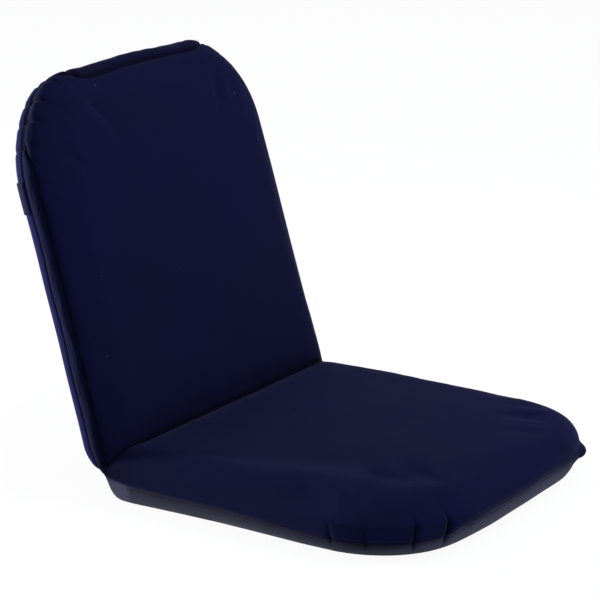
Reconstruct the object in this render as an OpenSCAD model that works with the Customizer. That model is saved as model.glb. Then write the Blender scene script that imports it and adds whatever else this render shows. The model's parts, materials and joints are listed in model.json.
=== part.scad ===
// Folding floor chair: a padded seat and a padded back, each on a bent tube
// frame, joined by two ratchet hinges inside one sewn cover.
// The chair faces -Y, and the sitter's left is +X. The origin is on the floor,
// under the middle of the seat pad.
// Each pad is drawn flat first: x across, y out from the hinge axis and z
// towards the sitting side, with the hinge axis at zero.

/* [Pads] */
// Width across both pads
pad_width = 490; // [460:1:520]
// Seat pad, from the hinge axis to its front edge
seat_length = 457; // [430:1:490]
// Back pad, from the hinge axis to its top edge
back_length = 483; // [450:1:520]
// Height of the hinge axis above the seat's underside
seat_under = 50; // [48:0.5:56]
// Depth of the back pad behind the hinge axis
back_under = 44; // [42:0.5:50]
// Height of the sitting face above the hinge axis
pad_top = 20; // [19:0.5:24]
// Corner radius of the seat's front edge, seen from above
seat_corner = 136; // [110:1:150]
// Corner radius of the back's top edge
back_corner = 126; // [110:1:150]
// How much narrower each side of the back is at the top
back_taper = 6; // [0:0.5:8]
// How far the long sides are drawn in half way along
side_draw_depth = 3; // [0:0.5:4]
// How far the middle of each far edge stands out from its corners
far_bow = 3; // [1:0.5:4]
// Rise of the seat's middle over its edges
seat_crown = 5; // [0:0.5:8]
// Rise of the back's middle over its edges
back_crown = 4; // [0:0.5:8]

/* [Cover] */
// Thickness of the sewn cloth
cloth = 1.2; // [0.8:0.1:1.4]
// Width of the rounding from the side of a pad to its top
edge_run = 38; // [30:0.5:39]
// Depth of a pad's widest line below the hinge axis
widest_drop = 6; // [4:0.5:8]
// How far the seam lies in from the widest line
seam_inset = 6; // [4:0.5:7]
// Height of the seat's seam above its underside
seat_seam_rise = 24; // [20:0.5:25]
// Height of the back's seam over its rear face
back_seam_rise = 25; // [20:0.5:26]
// Distance from the widest line to the flat sole
sole_inset = 30; // [28:0.5:36]
// Thickness of the flat sole and of the back's rear panel
sole = 1.5; // [1:0.1:1.6]
// Depth of the gathers sewn round the far corners
gather = 2.4; // [0:0.1:2.6]
// How far the cloth is drawn down along the crease
crease_dip = 5; // [2:0.5:6]
// Length of pad that the crease draws down
crease_run = 30; // [20:1:40]

/* [Fold] */
// Angle that the back is raised from lying flat
raise_angle = 73.6; // [55.2:18.4:92]
// Angle left between the pads when folded
fold_angle = 14.4; // [14:0.1:16]

/* [Frame] */
// Outer diameter of the frame tube
tube_diameter = 18; // [17.5:0.1:19]
// Wall of the frame tube
tube_wall = 1.5; // [1.2:0.1:1.6]
// Distance from the pad's side to the middle of the tube
frame_inset = 40; // [39:0.5:44]
// Depth of the tube's middle below the hinge axis
frame_drop = 15; // [15:0.1:15.4]
// Distance from the hinge axis to the tube's end
tube_start = 28; // [27.5:0.5:30]
// Diameter of the cross bars
bar_diameter = 14; // [12:0.5:16]
// Width of the support webbing
webbing_width = 40; // [30:1:46]
// Thickness of the support webbing
webbing = 2; // [1.6:0.1:2.2]

/* [Hinge] */
// Thickness of the toothed seat arm
arm_thickness = 4; // [3.6:0.1:4.2]
// Thickness of each back plate
plate_thickness = 2; // [1.6:0.1:2.1]
// Radius of the toothed disc
disc_radius = 16; // [15.8:0.1:16.1]
// Depth of the teeth
tooth_depth = 3; // [2.9:0.05:3.1]
// Radius of the pivot rivet
pivot_radius = 4; // [3.5:0.1:4.5]
// Radius of the rivets that hold the arms in the tubes
rivet_radius = 2; // [1.6:0.1:2.2]
// Depth that the arms reach into the tubes
tongue_length = 50; // [45:1:60]

/* [Strap and zip] */
// Width of the carry strap
strap_width = 40; // [30:1:46]
// Thickness of the carry strap
strap = 1.8; // [1.4:0.1:2]
// Distance from the hinge axis to the middle of the strap
strap_place = 343; // [300:1:350]
// Distance from each side of the back to the zip's opening
zip_margin = 45; // [40:1:60]
// Distance from the hinge axis to the zip
zip_place = 70; // [60:1:90]
// Spacing of the zip's teeth on one side
zip_pitch = 5; // [4.5:0.1:6]

/* [Hidden] */

// Fineness of round shapes
$fn = 64;

// Clearances and overruns
layer_gap = 0.3;
foam_gap = 0.8;
sole_gap = 0.8;
end_gap = 0.9;
run_gap = 0.05;
plate_gap = 0.15;
overrun = 1;

// Colours, as red, green and blue shares
navy = [0.08, 0.08, 0.2];
grey_cloth = [0.25, 0.26, 0.3];
foam_white = [0.9, 0.88, 0.78];
steel = [0.6, 0.61, 0.63];
black_web = [0.1, 0.1, 0.11];

// Pad outline and section
half_width = pad_width / 2;
hinge_y = seat_length / 2;
least_corner = 4;
least_full = 0.3;
side_steps = 8;
arc_steps = 8;
far_steps = 5;
crown_power = 0.6;
skirt_power = 1.4;
edge_rise = pad_top + widest_drop;
seam_angle = acos((edge_run - seam_inset) / edge_run);
hinge_level_angle = asin(widest_drop / edge_rise);
bevel = fold_angle / 2;
half_open = (180 - raise_angle) / 2;
crease_out = pad_top / tan(half_open);
edge_angles = [-seam_angle, -seam_angle / 2, 0, hinge_level_angle, 30, 50, 70, 90];
skirt_angles = [0, 22, 45, 68, 90];
top_shares = [0.3, 0.45, 0.6, 0.75];
foam_start = 40;
foam_base_drop = frame_drop - tube_diameter / 2 - webbing - 2 * layer_gap;

// Hinge places, in the back pad's flat drawing
hinge_x = half_width - frame_inset;
click = 18.4;
clicks_raised = 5;
pawl_swing = 12;
pawl_out = 17;
pawl_drop = 15;
pawl_boss = 4.2;
pawl_pin = 2;
tip_half = 0.95;
tip_flare = 0.45;
notch_ease = 0.3;
plate_radius = disc_radius + 0.5;
tongue_half = 6;
arm_tongue_half = 7;
rivet_head = 3.6;
rivet_head_height = 1.2;
pivot_head = 8;
pivot_head_height = 2;
washer = 0.8;
washer_radius = 9;
spring_leaf = 0.5;

// Which pad a shape belongs to: false is the seat and true is the back
function length_of(back) = back ? back_length : seat_length;
function under_of(back) = back ? back_under : seat_under;
function corner_of(back) = back ? back_corner : seat_corner;
function taper_of(back) = back ? back_taper : 0;
function crown_of(back) = back ? back_crown : seat_crown;
function seam_of(back) = (back ? back_seam_rise : seat_seam_rise) - under_of(back);

// Half width of a pad at a distance out from the hinge; full is 1 at the seam
// and 0 at the flat sole, whose sides are straight
function side_x(back, out, full) =
    let (share = min(1, max(0, out / length_of(back))))
    half_width - full * (taper_of(back) * share + side_draw_depth * sin(180 * share));

// Places round a pad, from the hinge end up one side, round the far end and
// back down the other side
function outline(back, inset, start, full, tuck) =
    let (
        r = max(corner_of(back) - inset, least_corner),
        bow = far_bow * full,
        cy = length_of(back) - inset - r - bow,
        cx = side_x(back, cy, full) - inset - r,
        side = [for (i = [0:side_steps])
            let (out = start + (cy - start) * i / side_steps)
            [side_x(back, out, full) - inset, out]],
        arc = [for (i = [1:arc_steps])
            let (a = 90 * i / arc_steps, ra = r - (i % 2 == 1 ? tuck : 0))
            [cx + ra * cos(a), cy + ra * sin(a)]],
        far = [for (i = [1:far_steps - 1])
            [cx - 2 * cx * i / far_steps, cy + r + bow * sin(180 * i / far_steps)]],
        half = concat(side, arc)
    )
    concat(half, far, [for (i = [len(half) - 1:-1:0]) [-half[i][0], half[i][1]]]);

// Crown of a pad, from nothing at its edges and its crease to the middle
function crown_at(back, inset, out) =
    let (
        run = length_of(back) - crease_out,
        along = max(0, sin(180 * min(1, max(0, (out - crease_out) / run)))),
        across = sin(90 * min(1, inset / half_width))
    )
    crown_of(back) * across * pow(along, crown_power);

// Where a surface of the given height meets the plane that its pad is cut by
function bevel_start(back, inset, level, least) =
    let (
        a = level / tan(bevel),
        b = (level + crown_at(back, inset, a)) / tan(bevel),
        c = (level + crown_at(back, inset, b)) / tan(bevel)
    )
    max(least, c + layer_gap);

// One row of a cover, in three dimensions
function row(back, inset, level, least, full, tuck) =
    [for (p = outline(back, inset, bevel_start(back, inset, level, least), full, tuck))
        [p[0], p[1], level + (level > 0 ? crown_at(back, inset, p[1]) : 0)]];

// Inset and level of the rounded edge at an angle, for a skin that lies the
// given depth inside the outer face
function edge_inset(angle, depth) = edge_run - (edge_run - depth) * cos(angle);
function edge_level(back, angle, depth) =
    let (low = (-widest_drop - seam_of(back) - layer_gap) / sin(seam_angle))
    -widest_drop + ((angle > 0 ? edge_rise : low) - depth) * sin(angle);

function cover_rows(back, depth) = concat(
    [for (a = edge_angles)
        row(back, edge_inset(a, depth), edge_level(back, a, depth), end_gap, 1,
            a < 0 ? -gather * a / seam_angle : 0)],
    [for (share = top_shares)
        row(back, half_width * share, pad_top - depth, end_gap, 1, 0)]);

// How far the turned-up edge stands out at an angle, as a share of its width
function skirt_out(angle) = pow(cos(angle), skirt_power);

// The turned-up edge between the seam and the flat sole
function skirt_rows(back, depth) =
    let (
        deep = seam_of(back) + under_of(back),
        wide = sole_inset - seam_inset
    )
    [for (a = skirt_angles)
        row(back, sole_inset - (wide - depth) * skirt_out(a),
            seam_of(back) - (deep - depth) * sin(a), end_gap, cos(a), gather * cos(a))];

// Faces of a grid of rows, counted from a first point
function grid_faces(rows, cols, first, flip) =
    [for (k = [0:rows - 2], i = [0:cols - 2], half = [0, 1])
        let (
            a = first + k * cols + i,
            b = a + 1,
            c = a + cols + 1,
            d = a + cols,
            face = half == 0 ? [a, b, c] : [a, c, d]
        )
        flip ? [face[2], face[1], face[0]] : face];

// Faces that join one row's two halves straight across
function ladder_faces(cols, first, flip) =
    [for (i = [0:floor(cols / 2) - 1], half = [0, 1])
        let (
            a = first + i,
            b = first + i + 1,
            c = first + cols - 2 - i,
            d = first + cols - 1 - i,
            face = half == 0 ? [a, b, c] : [a, c, d]
        )
        if (face[0] != face[1] && face[1] != face[2] && face[0] != face[2])
            flip ? [face[2], face[1], face[0]] : face];

// Faces between two chains of points that run side by side
function strip_faces(one, two) =
    [for (i = [0:len(one) - 2], half = [0, 1])
        half == 0 ? [one[i], two[i], two[i + 1]] : [one[i], two[i + 1], one[i + 1]]];

function flat_list(rows) = [for (r = rows, p = r) p];

function turned(chain) = [for (i = [len(chain) - 1:-1:0]) chain[i]];

// A cloth shell between an outer and an inner set of rows; a closed top joins
// the last row straight across, and rows that run down turn every face round
module cloth_shell(outer, inner, top, down) {
    cols = len(outer[0]);
    rows = len(outer);
    first = rows * cols;
    near_a = [for (k = [0:rows - 1]) k * cols];
    near_b = turned([for (k = [0:rows - 1]) k * cols + cols - 1]);
    rim = turned([for (i = [0:cols - 1]) i]);
    last = [for (i = [0:cols - 1]) (rows - 1) * cols + i];
    shift = function (chain) [for (i = chain) i + first];
    ends = top
        ? concat(
            ladder_faces(cols, (rows - 1) * cols, true),
            ladder_faces(cols, first + (rows - 1) * cols, false),
            strip_faces([last[0], last[cols - 1]], shift([last[0], last[cols - 1]])))
        : strip_faces(last, shift(last));
    faces = concat(
        grid_faces(rows, cols, 0, true),
        grid_faces(rows, cols, first, false),
        strip_faces(rim, shift(rim)),
        strip_faces(near_a, shift(near_a)),
        strip_faces(near_b, shift(near_b)),
        ends);
    polyhedron(
        concat(flat_list(outer), flat_list(inner)),
        down ? [for (f = faces) turned(f)] : faces,
        convexity = 10);
}

// A foam block that fills a set of rows, flat below and across its hinge end
module foam_block(rows_in, down) {
    cols = len(rows_in[0]);
    rows = len(rows_in);
    near_a = [for (k = [0:rows - 1]) k * cols];
    near_b = [for (k = [0:rows - 1]) k * cols + cols - 1];
    faces = concat(
        grid_faces(rows, cols, 0, true),
        ladder_faces(cols, 0, false),
        ladder_faces(cols, (rows - 1) * cols, true),
        strip_faces(near_a, near_b));
    polyhedron(
        flat_list(rows_in),
        down ? [for (f = faces) turned(f)] : faces,
        convexity = 10);
}

// Places of the two pads in the chair
module on_seat() {
    translate([0, hinge_y, seat_under]) rotate([0, 0, 180]) children();
}

module on_back() {
    translate([0, hinge_y, seat_under]) rotate([raise_angle, 0, 0]) children();
}

module on_pad(back) {
    if (back) on_back() children();
    else on_seat() children();
}

// A flat outline in out and level, drawn as a plate across x
module across(thickness) {
    rotate([90, 0, 90]) linear_extrude(thickness, center = true) children();
}

// Covers, skirts and soles
module pad_cover(back) {
    on_pad(back) cloth_shell(cover_rows(back, 0), cover_rows(back, cloth), true, false);
}

module pad_skirt(back) {
    on_pad(back) cloth_shell(skirt_rows(back, 0), skirt_rows(back, cloth), false, true);
}

module sole_outline(back) {
    inset = sole_inset + sole_gap;
    half = half_width - inset;
    far = length_of(back) - inset;
    r = corner_of(back) - inset;
    translate([-half, end_gap]) square([2 * half, far - r - end_gap]);
    translate([r - half, end_gap]) square([2 * (half - r), far - end_gap]);
    for (side = [-1, 1]) translate([side * (half - r), far - r]) circle(r);
}

module pad_sole(back) {
    on_pad(back) translate([0, 0, -under_of(back)]) difference() {
        linear_extrude(sole) sole_outline(back);
        if (back)
            translate([-zip_length / 2, zip_place - zip_slit / 2, -overrun])
                cube([zip_length, zip_slit, sole + 2 * overrun]);
    }
}

// Foam
module top_foam(back) {
    depth = cloth + foam_gap;
    angles = [hinge_level_angle / 2, 30, 50, 70, 90];
    on_pad(back) foam_block(concat(
        [row(back, edge_inset(angles[0], depth), -foam_base_drop, foam_start, 1, 0)],
        [for (a = angles)
            row(back, edge_inset(a, depth), edge_level(back, a, depth), foam_start, 1, 0)],
        [for (share = top_shares)
            row(back, half_width * share, pad_top - depth, foam_start, 1, 0)]), false);
}

module bottom_foam(back) {
    depth = cloth + foam_gap;
    deep = seam_of(back) + under_of(back);
    wide = sole_inset - seam_inset;
    top_level = -frame_drop - tube_diameter / 2 - webbing - 2 * layer_gap;
    floor_level = sole + layer_gap - under_of(back);
    angles = [for (a = skirt_angles)
        if (seam_of(back) - (deep - depth) * sin(a) < top_level) a];
    first_angle = asin(min(1, max(0, (seam_of(back) - top_level) / (deep - depth))));
    on_pad(back) foam_block([for (a = concat([first_angle], [for (b = angles) if (b > first_angle) b]))
        row(back, sole_inset + gather - (wide - depth) * skirt_out(a),
            max(floor_level, seam_of(back) - (deep - depth) * sin(a)),
            end_gap + layer_gap, max(least_full, cos(a)), 0)], true);
}

// Outline of everything inside the frame's middle line, grown by a margin
module frame_outline(back, grow) {
    half = hinge_x + grow;
    far = length_of(back) - frame_inset + grow;
    r = corner_of(back) - frame_inset + grow;
    start = end_gap + layer_gap;
    translate([-half, start]) square([2 * half, far - r - start]);
    translate([r - half, start]) square([2 * (half - r), far - start]);
    for (side = [-1, 1]) translate([side * (half - r), far - r]) circle(r);
}

module edge_foam(back) {
    keep = tube_diameter / 2 + webbing + 2 * layer_gap;
    low = -frame_drop - keep;
    deep = seam_of(back) + under_of(back);
    wide = sole_inset - seam_inset;
    turn = asin(max(0, (seam_of(back) - low) / deep));
    inset = sole_inset - (wide - cloth) * skirt_out(turn) + gather + foam_gap;
    high = -foam_base_drop - layer_gap;
    on_pad(back) translate([0, 0, low]) linear_extrude(high - low) difference() {
        polygon(outline(back, inset, end_gap + layer_gap, 1, 0));
        frame_outline(back, keep);
        translate([-hinge_x, -overrun]) square([2 * hinge_x, 2 * overrun + end_gap]);
    }
}

module core_foam(back) {
    keep = tube_diameter / 2 + webbing + 2 * layer_gap;
    low = -frame_drop - keep;
    high = -frame_drop + tube_diameter / 2;
    bar = bar_place(back);
    bar_keep = bar_diameter / 2 + layer_gap;
    on_pad(back) translate([0, 0, low]) linear_extrude(high - low) difference() {
        frame_outline(back, -keep);
        translate([-half_width, bar - bar_keep]) square([pad_width, 2 * bar_keep]);
    }
}

// The stretch of foam that bends at the crease, between the two bevels
module crease_foam() {
    level = pad_top - cloth - foam_gap;
    out_at = function (height) (height - layer_gap / cos(bevel)) / tan(bevel);
    dipped = level - crease_dip;
    corner = dipped / sin(half_open);
    root = layer_gap / sin(half_open - bevel);
    seat_side = [[out_at(level), level], [crease_out + crease_run, level]];
    to_chair = function (p) [-p[0], p[1]];
    to_back = function (p)
        [p[0] * cos(raise_angle) - p[1] * sin(raise_angle),
         p[0] * sin(raise_angle) + p[1] * cos(raise_angle)];
    mid = function (reach)
        [-reach * cos(half_open), reach * sin(half_open)];
    wide = hinge_x - tube_diameter;
    color(foam_white) translate([0, hinge_y, seat_under]) across(2 * wide)
        polygon([
            mid(root), to_chair(seat_side[0]), to_chair(seat_side[1]), mid(corner),
            to_back(seat_side[1]), to_back(seat_side[0])]);
}

// The stretch of cover that bends at the crease
crease_angles = [16, 30, 50, 70, 90];
crease_steps = 5;
crease_power = 1.6;

function crease_side(back, x_inset, level) =
    let (
        dip = crease_dip * min(1, level / pad_top),
        corner = (level - dip) / tan(half_open),
        far = bevel_start(back, x_inset, level, end_gap) - 2 * layer_gap
    )
    [for (i = [0:crease_steps])
        let (
            out = corner + (far - corner) * pow(i / crease_steps, crease_power),
            u = min(1, (out - corner) / crease_run),
            up = level - dip * pow(1 - u, 2) + (i == 0 ? 0 : crown_at(back, x_inset, out))
        )
        [out, up]];

function crease_column(x_inset, level, side) =
    let (
        seat_path = crease_side(false, x_inset, level),
        back_path = crease_side(true, x_inset, level),
        steps = crease_steps
    )
    concat(
        [for (i = [steps:-1:0])
            let (p = seat_path[i])
            [side * (side_x(false, p[0], 1) - x_inset), -p[0], p[1]]],
        [for (i = [1:steps])
            let (p = back_path[i])
            [side * (side_x(true, p[0], 1) - x_inset),
             p[0] * cos(raise_angle) - p[1] * sin(raise_angle),
             p[0] * sin(raise_angle) + p[1] * cos(raise_angle)]]);

function crease_columns(depth) =
    let (
        places = concat(
            [for (a = crease_angles) [edge_inset(a, depth), edge_level(false, a, depth)]],
            [for (share = top_shares) [half_width * share, pad_top - depth]]),
        last = len(places) - 1
    )
    concat(
        [for (p = places) crease_column(p[0], p[1], -1)],
        [for (i = [last:-1:0]) crease_column(places[i][0], places[i][1], 1)]);

module crease_cover() {
    color(navy) translate([0, hinge_y, seat_under])
        cloth_shell(crease_columns(0), crease_columns(cloth), false, true);
}

// Grey cloth round the gap behind the hinge: two end sheets and the arc
function end_face(back, high) =
    let (
        deep = seam_of(back) + under_of(back),
        wide = sole_inset - seam_inset,
        side = [for (a = [90, 68, 45, 22])
            [half_width - sole_inset + wide * skirt_out(a), seam_of(back) - deep * sin(a)]],
        half = concat(side, [
            [half_width - seam_inset, seam_of(back)],
            [half_width - cloth, high]])
    )
    concat(half, [for (i = [len(half) - 1:-1:0]) [-half[i][0], half[i][1]]]);

module end_sheet(back) {
    rotate([90, 0, 0]) linear_extrude(cloth, center = true)
        polygon(end_face(back, -gusset_radius - cloth / 2));
}

gusset_radius = plate_radius + overrun;

module hinge_gusset() {
    color(grey_cloth) {
        on_seat() end_sheet(false);
        on_back() end_sheet(true);
        translate([0, hinge_y, seat_under]) rotate([0, 90, 0])
            translate([0, 0, 2 * cloth - half_width])
            rotate_extrude(angle = raise_angle)
            translate([gusset_radius, 0]) square([cloth, pad_width - 4 * cloth]);
    }
}

// Frame tubes
module frame_path(back, radius, start) {
    bend = corner_of(back) - frame_inset;
    far = length_of(back) - frame_inset;
    translate([0, 0, -frame_drop]) {
        for (side = [-1, 1]) {
            translate([side * hinge_x, start, 0]) rotate([-90, 0, 0])
                cylinder(r = radius, h = far - bend - start);
            translate([side * (hinge_x - bend), far - bend, 0])
                rotate([0, 0, side > 0 ? 0 : 90]) rotate_extrude(angle = 90)
                translate([bend, 0]) circle(radius);
        }
        translate([bend - hinge_x, far, 0]) rotate([0, 90, 0])
            cylinder(r = radius, h = 2 * (hinge_x - bend));
    }
}

rivet_shares = [0.4, 0.8];

module rivet_cuts(back, radius, reach) {
    for (side = [-1, 1], share = rivet_shares)
        translate([side * hinge_x, tube_start + tongue_length * share, -frame_drop])
            rotate([0, 90, 0]) cylinder(r = radius, h = 2 * reach, center = true);
}

module frame_tube(back) {
    radius = tube_diameter / 2;
    on_pad(back) difference() {
        frame_path(back, radius, tube_start);
        frame_path(back, radius - tube_wall, tube_start - overrun);
        rivet_cuts(back, rivet_radius + run_gap, tube_diameter);
    }
}

bar_shares = [0.5, 0.56];
function bar_place(back) = length_of(back) * bar_shares[back ? 1 : 0];

module cross_bar(back) {
    reach = hinge_x - tube_diameter / 2 + overrun;
    on_pad(back) translate([0, bar_place(back), -frame_drop]) difference() {
        rotate([0, 90, 0]) cylinder(d = bar_diameter, h = 2 * reach, center = true);
        rotate([0, 90, 0])
            cylinder(d = bar_diameter - 2 * tube_wall, h = 2 * reach + overrun, center = true);
        for (side = [-1, 1]) translate([side * hinge_x, 0, 0]) rotate([90, 0, 0])
            cylinder(r = tube_diameter / 2 + run_gap, h = bar_diameter + overrun, center = true);
    }
}

// Support webbing, looped round the tube at each end
webbing_shares = [0.36, 0.64];

function webbing_places(back) = concat(
    [tube_start + tongue_length + webbing_width / 2 + 2 * overrun],
    [for (share = webbing_shares) length_of(back) * share]);

module support_webbing(back) {
    inner = tube_diameter / 2 + run_gap;
    on_pad(back) for (place = webbing_places(back))
        translate([0, place, -frame_drop]) {
            for (side = [-1, 1]) translate([side * hinge_x, 0, 0]) rotate([90, 0, 0])
                difference() {
                    cylinder(r = inner + webbing, h = webbing_width, center = true);
                    cylinder(r = inner, h = webbing_width + overrun, center = true);
                }
            translate([-hinge_x, -webbing_width / 2, inner])
                cube([2 * hinge_x, webbing_width, webbing]);
        }
}

// Hinge: seat arm with its teeth
module disc_notches() {
    bottom = disc_radius - tooth_depth;
    raised = [for (i = [0:clicks_raised]) 180 - i * click];
    for (a = concat(raised, [fold_angle])) rotate(a)
        polygon([
            [bottom, -tip_half - notch_ease],
            [disc_radius + overrun, -tip_half - tip_flare - notch_ease],
            [disc_radius + overrun, tip_half + tip_flare + notch_ease],
            [bottom, tip_half + notch_ease]]);
}

module seat_arm_outline() {
    low = -frame_drop - arm_tongue_half;
    high = -frame_drop + arm_tongue_half;
    far = tube_start + tongue_length;
    difference() {
        union() {
            circle(disc_radius);
            polygon([
                [pivot_radius / 2, -disc_radius + overrun], [disc_radius / 2, low], [far, low],
                [far, high], [tube_start, high], [disc_radius - tooth_depth, -pivot_radius]]);
        }
        circle(pivot_radius + run_gap);
        disc_notches();
        for (share = rivet_shares)
            translate([tube_start + tongue_length * share, -frame_drop])
                circle(rivet_radius + run_gap);
    }
}

module seat_hinge_arm(side) {
    color(steel) on_seat() translate([-side * hinge_x, 0, 0]) across(arm_thickness)
        seat_arm_outline();
}

// Hinge: the two back plates on each side
plate_inner = arm_thickness / 2 + plate_gap;
plate_shoulder_shares = [0.75, 0.68];

module back_plate_outline() {
    low = -frame_drop - tongue_half;
    high = -frame_drop + tongue_half;
    far = tube_start + tongue_length;
    difference() {
        union() {
            circle(plate_radius);
            polygon([
                [-overrun, -plate_radius + overrun / 2], [disc_radius / 2, low - overrun],
                [tube_start - overrun, low], [far, low], [far, high],
                [tube_start, high], [tube_start - 2 * overrun, 2 * overrun],
                disc_radius * plate_shoulder_shares]);
        }
        circle(pivot_radius);
        translate([pawl_out, -pawl_drop]) circle(pawl_pin);
        for (share = rivet_shares)
            translate([tube_start + tongue_length * share, -frame_drop])
                circle(rivet_radius + run_gap);
    }
}

module back_hinge_plates(side) {
    color(steel) on_back() for (face = [-1, 1])
        translate([side * hinge_x + face * (plate_inner + plate_thickness / 2), 0, 0])
            across(plate_thickness) back_plate_outline();
}

module back_plate_spacers() {
    start = tube_start - overrun;
    far = tube_start + tongue_length;
    color(steel) on_back() for (side = [-1, 1]) translate([side * hinge_x, 0, 0])
        across(2 * plate_inner) difference() {
            translate([start, -frame_drop - tongue_half])
                square([far - start, 2 * tongue_half]);
            for (share = rivet_shares)
                translate([tube_start + tongue_length * share, -frame_drop])
                    circle(rivet_radius + run_gap);
        }
}

// Rivets through the tube ends
module frame_rivets(back) {
    reach = tube_diameter / 2;
    on_pad(back) for (side = [-1, 1], share = rivet_shares)
        translate([side * hinge_x, tube_start + tongue_length * share, -frame_drop])
            rotate([0, 90, 0]) {
                cylinder(r = rivet_radius, h = 2 * reach, center = true);
                for (end = [0, 1]) mirror([0, 0, end]) translate([0, 0, reach])
                    cylinder(r1 = rivet_head, r2 = rivet_radius, h = rivet_head_height);
            }
}

module pivot_rivet(side) {
    reach = plate_inner + plate_thickness + washer + layer_gap;
    color(steel) on_back() translate([side * hinge_x, 0, 0]) rotate([0, 90, 0]) {
        cylinder(r = pivot_radius, h = 2 * reach, center = true);
        for (end = [0, 1]) mirror([0, 0, end]) translate([0, 0, reach])
            cylinder(r1 = pivot_head, r2 = pivot_head - pivot_head_height / 2,
                h = pivot_head_height);
    }
}

module pivot_washers() {
    place = plate_inner + plate_thickness + layer_gap / 2;
    color(steel) on_back() for (side = [-1, 1], end = [0, 1])
        translate([side * hinge_x, 0, 0]) mirror([end, 0, 0]) translate([place, 0, 0])
            rotate([0, 90, 0]) difference() {
                cylinder(r = washer_radius, h = washer);
                translate([0, 0, -overrun])
                    cylinder(r = pivot_radius + run_gap, h = washer + 2 * overrun);
            }
}

// Pawl, drawn dropped into a notch and then lifted by its swing
pawl_seat = disc_radius - tooth_depth + layer_gap;

module pawl_outline() {
    neck = disc_radius + 3 * layer_gap;
    difference() {
        union() {
            polygon([
                [pawl_seat, -tip_half], [neck, -tip_half - tip_flare],
                [neck, -pawl_drop / 3], [pawl_out - pawl_boss, -pawl_drop],
                [pawl_out + pawl_boss, -pawl_drop], [neck + pawl_boss, tip_half + tip_flare],
                [neck, tip_half + tip_flare], [pawl_seat, tip_half]]);
            translate([pawl_out, -pawl_drop]) circle(pawl_boss);
        }
        translate([pawl_out, -pawl_drop]) circle(pawl_pin + run_gap);
    }
}

module pawl(side) {
    color(steel) on_back() translate([side * hinge_x, pawl_out, -pawl_drop])
        rotate([-pawl_swing, 0, 0]) translate([0, -pawl_out, pawl_drop])
        across(arm_thickness) pawl_outline();
}

module pawl_rivets() {
    reach = plate_inner + plate_thickness;
    color(steel) on_back() for (side = [-1, 1])
        translate([side * hinge_x, pawl_out, -pawl_drop]) rotate([0, 90, 0])
            cylinder(r = pawl_pin, h = 2 * reach, center = true);
}

module pawl_springs() {
    lifted_back = pawl_out + (disc_radius + 3 * layer_gap + pawl_boss - pawl_out) * cos(pawl_swing)
        + (tip_half + tip_flare + pawl_drop) * sin(pawl_swing);
    leaf_out = tube_start - overrun - layer_gap - spring_leaf;
    foot = -frame_drop - tongue_half;
    color(steel) on_back() for (side = [-1, 1]) translate([side * hinge_x, 0, 0])
        across(arm_thickness) {
            translate([leaf_out, foot]) square([spring_leaf, spring_leaf - foot]);
            translate([lifted_back + layer_gap, 0])
                square([leaf_out + spring_leaf - lifted_back - layer_gap, spring_leaf]);
        }
}

// Carry strap across the rear, its ends sewn into the side seams
strap_hem = 2.4;
strap_hem_angle = 36;
strap_steps = 9;

module strap_outline() {
    low = under_of(true);
    deep = seam_of(true) + low;
    wide = sole_inset - seam_inset;
    curve = function (off, hem)
        [for (i = [0:strap_steps])
            let (
                a = 90 * i / strap_steps,
                extra = off + (hem ? strap_hem * pow(max(0, 1 - a / strap_hem_angle), 2) : 0)
            )
            [side_x(true, strap_place, cos(a)) - sole_inset + (wide + extra) * skirt_out(a),
             seam_of(true) - (deep + extra) * sin(a)]];
    outer = curve(layer_gap + strap, true);
    inner = curve(layer_gap, false);
    flip = function (list) [for (i = [len(list) - 1:-1:0]) [-list[i][0], list[i][1]]];
    turn = function (list) [for (i = [len(list) - 1:-1:0]) list[i]];
    polygon(concat(outer, flip(outer), turn(flip(inner)), turn(inner)));
}

module carry_strap() {
    color(navy) on_back() translate([0, strap_place, 0]) rotate([90, 0, 0])
        linear_extrude(strap_width, center = true) strap_outline();
}

// Zip across the back's rear panel
zip_length = pad_width - 2 * zip_margin;
zip_slit = 5;
zip_tape_width = 26;
zip_tape_thickness = 0.6;
zip_tape_end = 12;
zip_tooth = [3.2, 1.9, 1.6];
zip_spine = 1.1;
stop_length = 3;
slider_size = [14, 9, 3.4];
slider_wall = 0.9;
slider_ear = 3.4;
pull_size = [5, 24, 1.2];
pull_pin = 0.8;
zip_face = -back_under;
tape_face = zip_face - layer_gap / 3 - zip_tape_thickness;
teeth_face = tape_face - layer_gap / 3 - zip_tooth[2];
slider_top = teeth_face - layer_gap - slider_wall;
slider_start = zip_length / 2 - stop_length - slider_size[0] - layer_gap;

module zip_tape() {
    half = zip_length / 2 + zip_tape_end;
    color(black_web) on_back() for (side = [-1, 1])
        translate([-half, zip_place + side * (zip_tape_width / 4 + layer_gap / 2), tape_face])
            translate([0, -zip_tape_width / 4, 0])
            cube([2 * half, zip_tape_width / 2, zip_tape_thickness]);
}

module zip_teeth() {
    count = floor((zip_length - 2 * stop_length) / zip_pitch);
    run = count * zip_pitch;
    color(black_web) on_back() translate([-run / 2, zip_place, teeth_face])
        for (side = [0, 1]) mirror([0, side, 0]) {
            translate([0, zip_tooth[0] / 2, 0]) cube([run, zip_spine, zip_tooth[2]]);
            for (i = [0:count - 1])
                translate([(i + side / 2) * zip_pitch, -zip_tooth[0] / 2 + layer_gap, 0])
                    cube([zip_tooth[1], zip_tooth[0], zip_tooth[2]]);
        }
}

module zip_end_stops() {
    wide = zip_tooth[0] + 2 * zip_spine;
    color(steel) on_back() for (end = [-1, 1])
        translate([end * (zip_length - stop_length) / 2, zip_place, teeth_face]) {
            translate([-stop_length / 2 + layer_gap, -wide / 2, 0])
                cube([stop_length - 2 * layer_gap, wide, zip_tooth[2]]);
        }
}

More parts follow.
